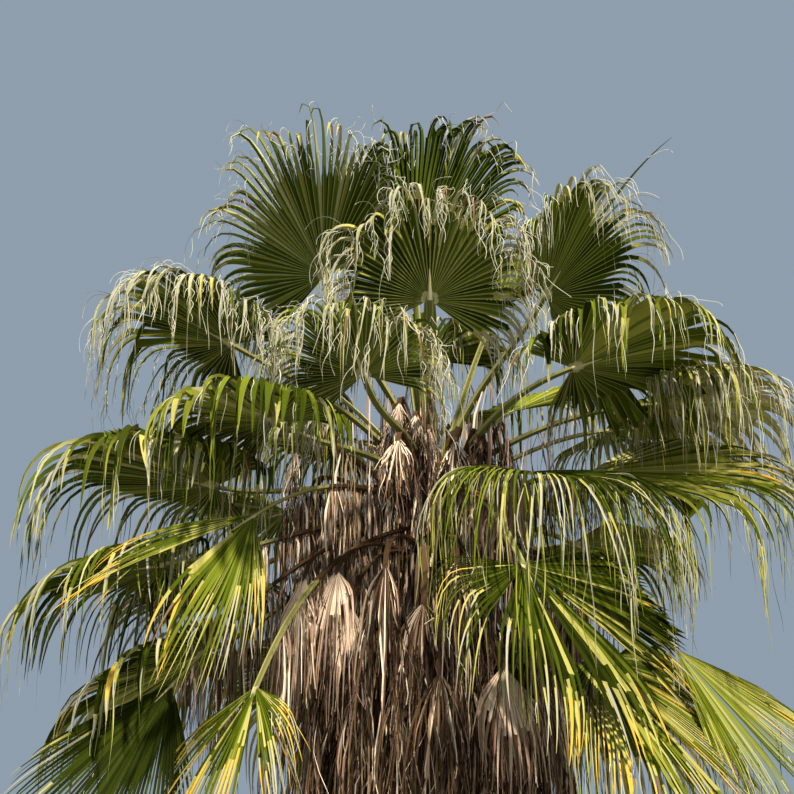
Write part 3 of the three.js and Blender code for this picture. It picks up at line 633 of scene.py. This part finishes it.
# fibres round the head of the trunk
fibreShape = {
    "count": 900, "from": 4.9, "to": 6.42, "length": (0.12, 0.5), "wide": (0.005, 0.022), "standOff": 0.05,
    "tones": [0.1, 0.22, 0.28, 0.24, 0.08, 0.08, 0],
}
fibreBag = newBag()
rng = np.random.default_rng(77)
count = fibreShape["count"]
high = rng.uniform(fibreShape["from"], fibreShape["to"], count)
turn = rng.uniform(0, 2 * math.pi, count)
out = np.stack([np.cos(turn), np.sin(turn), 0 * turn], -1)
radius = np.array([trunkRadius(z) for z in high]) + rng.uniform(0, fibreShape["standOff"], count)
start = out * radius[:, None] + np.stack([0 * high, 0 * high, high], -1)
slots = rng.choice(len(drySlot), count, p=fibreShape["tones"])
hangingRibbons(fibreBag, start, unit(out * 0.7 + down * 0.6), np.stack([-out[:, 1], out[:, 0], 0 * turn], -1),
               rng.uniform(*fibreShape["length"], count), rng.uniform(*fibreShape["wide"], count), slots, rng)
fibres = makePiece("headFibres", fibreBag, dryMaterials)
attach(fibres, "root")
print("strips and fibres hung")


# stalks with their toothed edges and broad brown feet
stalkShape = {
    "footWide": 0.037, "hubWide": 0.022, "footHigh": 0.023, "hubHigh": 0.017, "stations": 22,
    "past": [0.35, 0.7, 1.0], "pastAt": [1.35, 1.7, 2], "pastWide": [0.013, 0.008, 0.003],
    "pastHigh": [0.011, 0.007, 0.003],  # the rib that runs on into the blade
    "sheathWide": 0.105, "sheathShare": 0.13, "sheathHug": 2.2, "flarePower": 1.4, "footShare": 0.16,
    "teeth": 46, "tooth": 0.012, "toothSpread": (0.6, 1.2), "toothWide": [0.0034, 0.0005],
    "toothed": (0.16, 0.93), "toothLean": 0.5, "toothSunk": 0.003,
    "oldBelow": 5.6, "oldBrown": 0.5,  # the stalks of the low fans have turned brown from the foot on
}
stalkRing = [(1, 0.3), (0.55, 0.12), (-0.55, 0.12), (-1, 0.3),
             (-0.78, -0.6), (-0.3, -1), (0.3, -1), (0.78, -0.6)]
stalkTones = ["stalkEdge", "stalkTop", "stalkEdge", "stalkEdge",
              "stalkGreen", "stalkGreen", "stalkGreen", "stalkEdge"]


def addStalk(bag, f, wideBy, slots, stations, sheath):
    s = stalkShape
    t = np.linspace(0, 1, stations)
    path = stalkPath(f, t)
    past = np.array(s["past"])[:, None]
    ribEnd = f["hub"] + f["axis"] * growth["costa"] * past - f["up"] * growth["costaSink"] * past
    path = np.concatenate([path, ribEnd])
    level = np.array([-math.sin(f["az"]), math.cos(f["az"]), 0])
    reach = np.concatenate([t, 1 + past[:, 0]])
    wide = np.interp(reach, [0, 1, *s["pastAt"]], [s["footWide"], s["hubWide"], *s["pastWide"]]) * wideBy
    high = np.interp(reach, [0, 1, *s["pastAt"]], [s["footHigh"], s["hubHigh"], *s["pastHigh"]]) * wideBy
    flare = np.clip(1 - reach / s["sheathShare"], 0, 1) ** s["flarePower"]
    wide = wide + (s["sheathWide"] - s["footWide"]) * flare * sheath
    rings = sweep(path[None], np.broadcast_to(level, path.shape)[None], stalkRing, wide[None], high[None])
    outward = np.array([math.cos(f["az"]), math.sin(f["az"]), 0])
    sideways = ((rings[0] - path[:, None]) @ level)
    rings[0] -= outward * (s["sheathHug"] * sideways ** 2)[..., None]
    rows = np.broadcast_to(slots, (1, len(path) - 1, len(stalkRing))).copy()
    if sheath == 1:
        rows[0, stations - 1:] = stalkSlot["stalkPale"]
    footSpans = max(1, int(stations * s["footShare"]))
    rows[0, :footSpans] = stalkSlot["sheath"]
    rows[0, footSpans:footSpans + 1] = stalkSlot["stalkFoot"]
    addStrips(bag, rings, rows)
    return path, rings[0], level


stalkBag = newBag()
for i, f in enumerate(greenFrames):
    s = stalkShape
    rng = np.random.default_rng(900 + i)
    rows = np.tile([stalkSlot[tone] for tone in stalkTones], (1, s["stations"] + 2, 1))
    if f["hub"][2] < s["oldBelow"]:
        rows[:, :int(s["oldBrown"] * s["stations"])] = stalkSlot["stalkFoot"]
    path, rings, level = addStalk(stalkBag, f, 1.0, rows, s["stations"], 1.0)
    last = s["stations"] - 1
    for edge, sign in ((0, 1), (3, -1)):
        t = np.sort(rng.uniform(*s["toothed"], s["teeth"])) * last
        k = t.astype(int)
        root = rings[k, edge] + (rings[k + 1, edge] - rings[k, edge]) * (t - k)[:, None]
        along = unit(path[k + 1] - path[k])
        size = s["tooth"] * rng.uniform(*s["toothSpread"], len(t))[:, None]
        out = unit(sign * level + s["toothLean"] * along)
        tooth = np.stack([root - sign * level * s["toothSunk"], root + out * size], 1)
        ring = [(1, 0), (-0.5, 0.8), (-0.5, -0.8)]
        wide = np.array([s["toothWide"]]).repeat(len(t), 0)
        across = np.broadcast_to(along[:, None], tooth.shape)
        addStrips(stalkBag, sweep(tooth, across, ring, wide, wide * 0.7), stalkSlot["tooth"])
stalks = makePiece("leafStalks", stalkBag, stalkMaterials)
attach(stalks, "root")
print("stalks grown")


# skirt of dead fronds: folded fans that hang from brown stalks
deadShape = {
    "leaflets": 40, "perFrond": [3, 3, 3, 5], "span": 0.85, "split": 0.8, "thick": 0.003, "leastWide": 0.0018,
    "stations": [0, 0.12, 0.24, 0.36, 0.5, 0.64, 0.78, 0.9, 1], "from": 0.02,
    "wander": 0.14, "droop": (0.9, 1.05), "fall": (0.12, 0.7), "sway": 0.12, "narrowest": 0.8,
    "bend": (0.05, 0.05, 0.01), "waves": (3, 9), "bendPower": 1.3, "twistPower": 1.5, "fold": (0.4, 1.2),
    # shares of the dry colours above the height where the heart begins, darker: painted shade in the heart of
    # the crown
    "heartPaintedShadeTones": [0.05, 0.14, 0.28, 0.36, 0.07, 0.1, 0], "heartAbove": 6.0,
    "heartPale": 0.5, "heartPaleShare": 0.1,
    # the groups of a tier, and how a further fan of a frond differs from its first
    "groupTurn": 90, "fanTurn": 82 / 3, "reachSpread": 0.16, "dropSpread": 0.3, "bladeSpread": 0.24,
    "tierPitch": -80, "tierSpan": 34, "tierSplit": 0.28, "footLift": 0.06,
    "skirtTurn": (9, 16), "heartTurn": (-50, 50),
    "further": (("span", "times", 0.7, 1.3), ("pitch", "plus", -6, 12), ("reach", "times", 0.72, 0.9),
                ("hubZ", "plus", -0.2, 0.05), ("blade", "times", 0.75, 0.95)),
    # by tier and place: fans that hold together, with span, split and blade, and shares of pale leaflets,
    # which paint sunlight on those fans
    "joinedFans": {(1, 1): (1.25, 1.9, 0.72), (2, 2): (1.1, 1.5, 0.7), (0, 4): (1.2, 1.8, 0.7),
                   (1, 8): (1.2, 1.9, 0.72), (0, 11): (1.15, 1.5, 0.8)},
    "paleFans": {(0, 11): 0.8, (0, 3): 0.8, (0, 8): 0.8, (3, 0): 0.5, (3, 1): 0.8, (1, 1): 0.5},
    "sheets": ((0, 11),), "joinedOut": 0.1, "stalkBy": 0.8, "stalkStations": 12,
    "shreds": 9, "shredAt": (0.05, 0.85), "shredLong": (0.12, 0.45), "shredWide": (0.006, 0.02),
    "shredSunk": 0.01,
}
# fans that fell to loose strips, and fans that hold together
deadKinds = {
    "loose": {"freedom": 1.0, "shortest": 0.45, "widest": 1.5, "twist": 1.6, "dark": 0.5,
              "wide": [0.03, 0.14, 0.26, 0.26, 0.24, 0.2, 0.16, 0.12, 0.04],
              "tones": [0.15, 0.2, 0.2, 0.25, 0.1, 0.1, 0]},
    "joined": {"freedom": 0.2, "shortest": 0.75, "widest": 1.25, "twist": 0.5, "dark": 0.15,
               "wide": [0.03, 0.12, 0.26, 0.42, 0.5, 0.4, 0.26, 0.14, 0.05],
               "tones": [0.12, 0.22, 0.08, 0.02, 0.16, 0, 0.4]},
}


def addDeadFan(bag, f, rng, joined, pale):
    row, s, count = f["row"], deadShape, deadShape["leaflets"]
    kind = deadKinds["joined" if joined else "loose"]
    edges = np.linspace(-1, 1, count + 1)
    mids = (edges[:-1] + edges[1:]) / 2
    length = row["blade"] * (1 - growth["sideShorter"] * mids * mids)
    length = length * rng.uniform(kind["shortest"], 1.0, count)
    path, _, across = leafletPaths(f, mids + rng.normal(0, s["wander"] * kind["freedom"], count), length,
                                   rng.uniform(*s["droop"], count), rng.uniform(*s["fall"], count),
                                   rng.normal(0, s["sway"], count), np.ones(count))
    t = np.broadcast_to(np.array(s["stations"]), (count, len(s["stations"])))
    at = alongPath(path, np.maximum(t, s["from"]))
    bend = rng.normal(0, 1, (count, 1, 3)) * np.array(s["bend"])
    waves = rng.uniform(*s["waves"], count)[:, None, None]
    at = at + kind["freedom"] * bend * np.sin(waves * t[..., None] + 1) * t[..., None] ** s["bendPower"]
    gap = row["blade"] * math.radians(2 * row["span"]) / count
    half = np.maximum(gap / 2 * np.array(kind["wide"]), s["leastWide"])
    half = half * rng.uniform(s["narrowest"], kind["widest"], count)[:, None]
    twist = rng.normal(0, kind["twist"], count)[:, None] * t ** s["twistPower"]
    way = unit(np.gradient(at, axis=1))
    level = squareTo(way, across[:, None])
    turned = turnedBy(twist, level, np.cross(level, way))
    under = np.cross(turned, way)
    depth = half * rng.uniform(*s["fold"], count)[:, None]
    thick = np.minimum(s["thick"], half * 0.5)
    rings = np.stack([at + turned * half[..., None], at + under * (depth - thick)[..., None],
                      at - turned * half[..., None], at + under * depth[..., None]], 2)
    tones = s["heartPaintedShadeTones"] if row["footZ"] > s["heartAbove"] else kind["tones"]
    slots = rng.choice(len(drySlot), (count, 1, 1), p=tones).repeat(t.shape[1] - 1, 1).repeat(4, 2)
    # the hollow side of some folded strips is dealt dark browns: painted shade inside the fold
    foldPaintedShade = rng.random(count) < kind["dark"]  # the inner side of a folded strip is darker
    slots[foldPaintedShade, :, :2] = rng.choice([drySlot["dryBrown"], drySlot["dryDark"]], (foldPaintedShade.sum(), 1, 1))
    # a share of leaflets dealt the pale dry colour: painted sunlight on the pale fans listed, pale dead
    # leaves on some fans of the heart
    slots[rng.random(count) < pale, :4] = drySlot["dryPale"]
    addStrips(bag, rings, slots, capFrom=1)


def deadRows():
    made, s = [], deadShape
    for tierNumber, tier in enumerate(skirtTiers):
        rows = []
        for side in range(4):
            for i in range(3):
                r = float(chance(tierNumber * 7 + side, i + 40))
                rows.append({
                    "az": tier["az"] + side * s["groupTurn"] + (i - 1) * s["fanTurn"],
                    "reach": tier["reach"] * uneven(s["reachSpread"], r),
                    "hubZ": tier["z"] - tier["drop"] * uneven(s["dropSpread"], r),
                    "footZ": tier["z"] + s["footLift"], "rise": tier["rise"],
                    "yaw": 0, "pitch": s["tierPitch"], "roll": 0, "lean": 0,
                    "blade": tier["blade"] * uneven(s["bladeSpread"], r), "span": s["tierSpan"],
                    "split": s["tierSplit"], "droop": 1,
                })
        made.append(rows)
    made.append([dict(zip(frondKeys, values)) for values in heartFronds])
    return made


deadNodes = [[f"skirt_{4 * tier + i + 1:02d}" for i in range(4)] for tier in range(4)]
deadStalkSlots = [stalkSlot["stalkFoot"]] * len(stalkRing)
deadStalkBag = newBag()
for tierNumber, rows in enumerate(deadRows()):
    s, inSkirt = deadShape, tierNumber < len(skirtTiers)
    bag = newBag()
    for i, row in enumerate(rows):
        for copy in range(s["perFrond"][tierNumber]):
            rng = np.random.default_rng(4000 + 100 * tierNumber + 10 * i + copy)
            shifted = dict(row)
            if copy:
                shifted["az"] += rng.uniform(*s["skirtTurn" if inSkirt else "heartTurn"])
                for key, how, low, high in s["further"]:
                    by = rng.uniform(low, high)
                    shifted[key] = shifted[key] * by if how == "times" else shifted[key] + by
            joined = s["joinedFans"].get((tierNumber, i))
            joined = joined if copy == 0 or (tierNumber, i) in s["sheets"] else None
            spanBy, splitBy, bladeBy = joined or (s["span"], s["split"], 1)
            if inSkirt:
                shifted["span"] *= spanBy
                shifted["split"] *= splitBy
                shifted["blade"] *= bladeBy
                shifted["reach"] += s["joinedOut"] if joined else 0
            f = frondFrame(shifted)
            heartPale = s["heartPale"] * (not inSkirt and rng.random() < s["heartPaleShare"])
            addDeadFan(bag, f, rng, bool(joined), s["paleFans"].get((tierNumber, i), heartPale))
            addStalk(deadStalkBag, f, s["stalkBy"], deadStalkSlots, s["stalkStations"], s["stalkBy"])
            shreds = s["shreds"]
            start = stalkPath(f, rng.uniform(*s["shredAt"], shreds)) - np.array([0, 0, s["shredSunk"]])
            around = unit(rng.normal(0, 1, (shreds, 3)) * np.array([1, 1, 0.1]))
            hangingRibbons(bag, start, unit(around * 0.5 + down), around,
                           rng.uniform(*s["shredLong"], shreds), rng.uniform(*s["shredWide"], shreds),
                           rng.choice([1, 2, 3, 4, 5], shreds), rng)
    skirt = makePiece(["skirtTop", "skirtMiddle", "skirtLower", "heartDead"][tierNumber], bag, dryMaterials)
    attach(skirt, "root")
    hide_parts(*deadNodes[tierNumber])
deadStalks = makePiece("deadStalks", deadStalkBag, stalkMaterials)
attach(deadStalks, "root")
print("skirt grown")


# trunk: a cylinder cut into rings in edit mode, then drawn to its taper with scars and cracks
trunkShape = {
    "sides": 128, "cuts": (15, 18), "scarEvery": 0.052, "scarDeep": 0.006, "scarWander": 0.35, "lump": 0.006,
    "crackDeep": 0.018, "crackScale": 9.0, "crackAlong": 1.1, "crackSharp": 3.2, "crackWide": 0.55,
    "footHigh": 0.2, "footNear": 0.5, "footCalm": 0.6,  # the scars are fainter at the foot
}
barkLook = {"dark": (0.075, 0.055, 0.040), "darkAt": 0.3, "pale": (0.330, 0.265, 0.205), "paleAt": 0.72,
            "fibre": 26, "upright": 0.22, "rough": 0.9, "gloss": 0.2, "relief": 0.6, "deep": 0.01}


def barkFinish():
    material = bpy.data.materials.new("trunkBark")
    material.use_nodes = True
    nodes, links = material.node_tree.nodes, material.node_tree.links
    look = barkLook
    shader = nodes["Principled BSDF"]
    shader.inputs["Roughness"].default_value = look["rough"]
    shader.inputs["Specular IOR Level"].default_value = look["gloss"]
    place = nodes.new("ShaderNodeTexCoord")
    spread = nodes.new("ShaderNodeMapping")
    spread.inputs["Scale"].default_value = (1, 1, look["upright"])
    fibre = nodes.new("ShaderNodeTexNoise")
    fibre.inputs["Scale"].default_value = look["fibre"]
    fibre.inputs["Detail"].default_value = 6
    tone = nodes.new("ShaderNodeValToRGB")
    for end, name in zip(tone.color_ramp.elements, ("dark", "pale")):
        end.position = look[name + "At"]
        end.color = (*look[name], 1)
    bump = nodes.new("ShaderNodeBump")
    bump.inputs["Strength"].default_value = look["relief"]
    bump.inputs["Distance"].default_value = look["deep"]
    links.new(place.outputs["Object"], spread.inputs["Vector"])
    links.new(spread.outputs["Vector"], fibre.inputs["Vector"])
    links.new(fibre.outputs["Fac"], tone.inputs["Fac"])
    links.new(tone.outputs["Color"], shader.inputs["Base Color"])
    links.new(fibre.outputs["Fac"], bump.inputs["Height"])
    links.new(bump.outputs["Normal"], shader.inputs["Normal"])
    return material


def settled(name):  # the primitive just added, named, with its place in its mesh
    piece = bpy.context.active_object
    piece.name = piece.data.name = name
    bpy.ops.object.transform_apply(location=True, rotation=True, scale=True)
    return piece


def cutUprights(mesh, cuts, tall):  # only the upright edges are cut, so that the sides become rings
    bpy.ops.object.mode_set(mode="EDIT")
    bpy.ops.mesh.select_mode(type="EDGE")
    bpy.ops.mesh.select_all(action="DESELECT")
    bpy.ops.object.mode_set(mode="OBJECT")
    for edge in mesh.edges:
        a, b = (mesh.vertices[i].co for i in edge.vertices)
        edge.select = abs(a.z - b.z) > tall
    bpy.ops.object.mode_set(mode="EDIT")
    bpy.ops.mesh.subdivide(number_cuts=cuts)
    bpy.ops.object.mode_set(mode="OBJECT")


def makeTrunk():
    s = trunkShape
    height = trunkProfile[-1][0]
    bpy.ops.object.select_all(action="DESELECT")
    bpy.ops.mesh.primitive_cylinder_add(vertices=s["sides"], radius=0.3, depth=height, end_fill_type="TRIFAN",
                                        location=(0, 0, height / 2))
    trunk = settled("trunkStem")
    for cuts in s["cuts"]:
        cutUprights(trunk.data, cuts, 0.001)
    for vertex in trunk.data.vertices:
        x, y, z = vertex.co
        if math.hypot(x, y) < 0.01:
            continue
        angle = math.atan2(y, x)
        around = Vector((math.cos(angle), math.sin(angle), 0))
        crack = noise.noise(Vector((*around.xy * s["crackScale"], z * s["crackAlong"])))
        crack = -max(0.0, s["crackWide"] - s["crackSharp"] * abs(crack)) * s["crackDeep"]
        wander = s["scarWander"] * noise.noise(Vector((around.x * 1.5, around.y * 1.5, z * 0.8)))
        ring = abs(((z / s["scarEvery"] + wander * 2) % 1) - 0.5) * 2
        calm = s["footCalm"] * math.exp(-((z - s["footHigh"]) / s["footNear"]) ** 2)
        scar = (ring ** 3) * s["scarDeep"] * (1 - calm)
        lump = s["lump"] * noise.noise(Vector((x * 4, y * 4, z * 2.3)))
        radius = trunkRadius(z) + (crack + scar + lump)
        vertex.co.x, vertex.co.y = radius * around.x, radius * around.y
    bpy.ops.object.shade_smooth()
    trunk.data.materials.append(barkFinish())
    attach(trunk, "root")
    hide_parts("trunk")


makeTrunk()
print("trunk shaped")


# stubs of old leaf bases, modelled once and set round the trunk in a spiral
stubShape = {
    "wide": 0.1, "high": 0.13, "thick": 0.03, "from": 3.7, "to": 5.95, "count": 120, "turn": 137.508,
    "narrower": 0.42, "lift": 0.045, "cupped": 0.9, "splitDeep": 0.05, "splitWide": 0.04, "bevel": 0.006,
    "turnSpread": 0.08, "size": (0.85, 1.2), "standOff": 0.018,
}


def makeStubs():
    s = stubShape
    bpy.ops.object.select_all(action="DESELECT")
    bpy.ops.mesh.primitive_cube_add(size=1, location=(0, 0, 0), scale=(s["thick"], s["wide"], s["high"]))
    stub = settled("oneBase")
    bpy.ops.object.mode_set(mode="EDIT")
    bpy.ops.mesh.select_all(action="SELECT")
    bpy.ops.mesh.subdivide(number_cuts=2)
    bpy.ops.object.mode_set(mode="OBJECT")
    for vertex in stub.data.vertices:  # broad at the foot, split and lifted at the cut
        share = min(1.0, max(0.0, vertex.co.z / s["high"] + 0.5))
        vertex.co.y *= 1 - s["narrower"] * share
        vertex.co.x += s["lift"] * share ** 1.5 - s["cupped"] * vertex.co.y ** 2 / 0.2
        if share > 0.9:
            vertex.co.z -= s["splitDeep"] * (1 - min(1, abs(vertex.co.y) / s["splitWide"]))
    bpy.ops.object.mode_set(mode="EDIT")
    bpy.ops.mesh.select_all(action="SELECT")
    bpy.ops.mesh.bevel(offset=s["bevel"], segments=1)
    bpy.ops.mesh.normals_make_consistent(inside=False)
    bpy.ops.object.mode_set(mode="OBJECT")
    shape = np.empty(len(stub.data.vertices) * 3)
    stub.data.vertices.foreach_get("co", shape)
    shape = shape.reshape(-1, 3)
    faces = [tuple(p.vertices) for p in stub.data.polygons]
    bpy.data.objects.remove(stub)
    rng = np.random.default_rng(31)
    points, polygons = [], []
    for i in range(s["count"]):
        z = s["from"] + (s["to"] - s["from"]) * (i / (s["count"] - 1))
        angle = math.radians(i * s["turn"]) + rng.normal(0, s["turnSpread"])
        size = rng.uniform(*s["size"])
        radius = trunkRadius(z) + s["standOff"]
        out = np.array([math.cos(angle), math.sin(angle), 0])
        level = np.array([-out[1], out[0], 0])
        base = len(points) * len(shape)
        points.append(shape[:, :1] * size * out + shape[:, 1:2] * size * level
                      + np.array([0, 0, 1]) * shape[:, 2:] * size + out * radius + np.array([0, 0, z]))
        polygons += [tuple(base + k for k in face) for face in faces]
    mesh = bpy.data.meshes.new("oldBases")
    mesh.from_pydata(np.concatenate(points).tolist(), [], polygons)
    for material in (stalkMaterials[stalkSlot["sheath"]], dryMaterials[drySlot["dryBrown"]],
                     dryMaterials[drySlot["dryDark"]]):
        mesh.materials.append(material)
    mesh.polygons.foreach_set("material_index", [(k // len(faces)) % 3 for k in range(len(polygons))])
    bases = bpy.data.objects.new("oldBases", mesh)
    bpy.context.collection.objects.link(bases)
    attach(bases, "root")


makeStubs()


# the youngest leaf, still folded: a cylinder cut into rings in edit mode, then pleated
spearShape = {
    "pleats": 14, "from": 6.4503, "height": 1.85, "pleat": 0.16, "swell": 0.05, "cuts": 24, "turn": 0.5,
    "wideAt": [0, 0.1, 0.55, 0.85, 1], "wide": [0.034, 0.04, 0.05, 0.024, 0.004], "dryFrom": 0.93,
}


def makeSpear():
    s = spearShape
    bpy.ops.object.select_all(action="DESELECT")
    bpy.ops.mesh.primitive_cylinder_add(vertices=2 * s["pleats"], radius=s["swell"], depth=s["height"],
                                        end_fill_type="TRIFAN", location=(0, 0, s["from"] + s["height"] / 2))
    spear = settled("spearLeaf")
    mesh = spear.data
    cutUprights(mesh, s["cuts"], s["height"] / 2)
    for vertex in mesh.vertices:
        x, y, z = vertex.co
        share = (z - s["from"]) / s["height"]
        radius = np.interp(share, s["wideAt"], s["wide"])
        if math.hypot(x, y) < 0.005:
            continue
        angle = math.atan2(y, x)
        fold = 1 - s["pleat"] * (0.5 + 0.5 * math.cos(s["pleats"] * (angle + s["turn"] * share)))
        vertex.co.x, vertex.co.y = radius * fold * math.cos(angle), radius * fold * math.sin(angle)
    mesh.materials.append(leafMaterials[leafSlot["topSun"]])
    mesh.materials.append(leafMaterials[leafSlot["straw"]])
    for face in mesh.polygons:
        face.material_index = int(face.center.z > s["from"] + s["dryFrom"] * s["height"])
    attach(spear, "root")
    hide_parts("spear_leaf")


makeSpear()
print("bases and spear shaped")


# floor, light and camera
studio = {
    "floor": (0.24, 0.24, 0.235), "floorRadius": 240, "sky": (0.66, 0.82, 1.0), "skyStrength": 0.42,
    "sun": 8.0, "sunAngle": 3, "sunColor": (1.0, 0.95, 0.86), "sunFrom": (0.28, -0.54, 0.79),
}
bpy.context.scene.view_settings.view_transform = "Standard"
bpy.ops.object.select_all(action="DESELECT")
bpy.ops.mesh.primitive_circle_add(vertices=96, radius=studio["floorRadius"], fill_type="NGON")
floor = bpy.context.active_object
floor.name = "studioFloor"
floor.data.materials.append(plainFinish("floorPaint", studio["floor"], 0.9))

world = bpy.data.worlds.new("studioSky")
bpy.context.scene.world = world
world.use_nodes = True
world.node_tree.nodes["Background"].inputs["Color"].default_value = (*studio["sky"], 1)
world.node_tree.nodes["Background"].inputs["Strength"].default_value = studio["skyStrength"]

bpy.ops.object.light_add(type="SUN", location=(-6, -8, 16))
sun = bpy.context.active_object
sun.data.energy = studio["sun"]
sun.data.angle = math.radians(studio["sunAngle"])
sun.data.color = studio["sunColor"]
sun.rotation_euler = Vector(studio["sunFrom"]).to_track_quat("Z", "Y").to_euler()

view = {"place": (0, -11.633, 1.6), "up": 24.33, "left": 1.18, "focalPixels": 1792.4, "frame": 794,
        "sensor": 36, "farthest": 500}
bpy.ops.object.camera_add(location=view["place"],
                          rotation=(math.radians(90 + view["up"]), 0, math.radians(view["left"])))
camera = bpy.context.active_object
camera.data.sensor_width = view["sensor"]
camera.data.lens = view["sensor"] * view["focalPixels"] / view["frame"]
camera.data.clip_end = view["farthest"]
bpy.context.scene.camera = camera

triangles = {piece.name: sum(len(face.vertices) - 2 for face in piece.data.polygons)
             for piece in bpy.context.scene.objects if piece.type == "MESH"}
most = max(triangles, key=triangles.get)
print("triangles in all", sum(triangles.values()), "and the most in one piece", triangles[most], most)
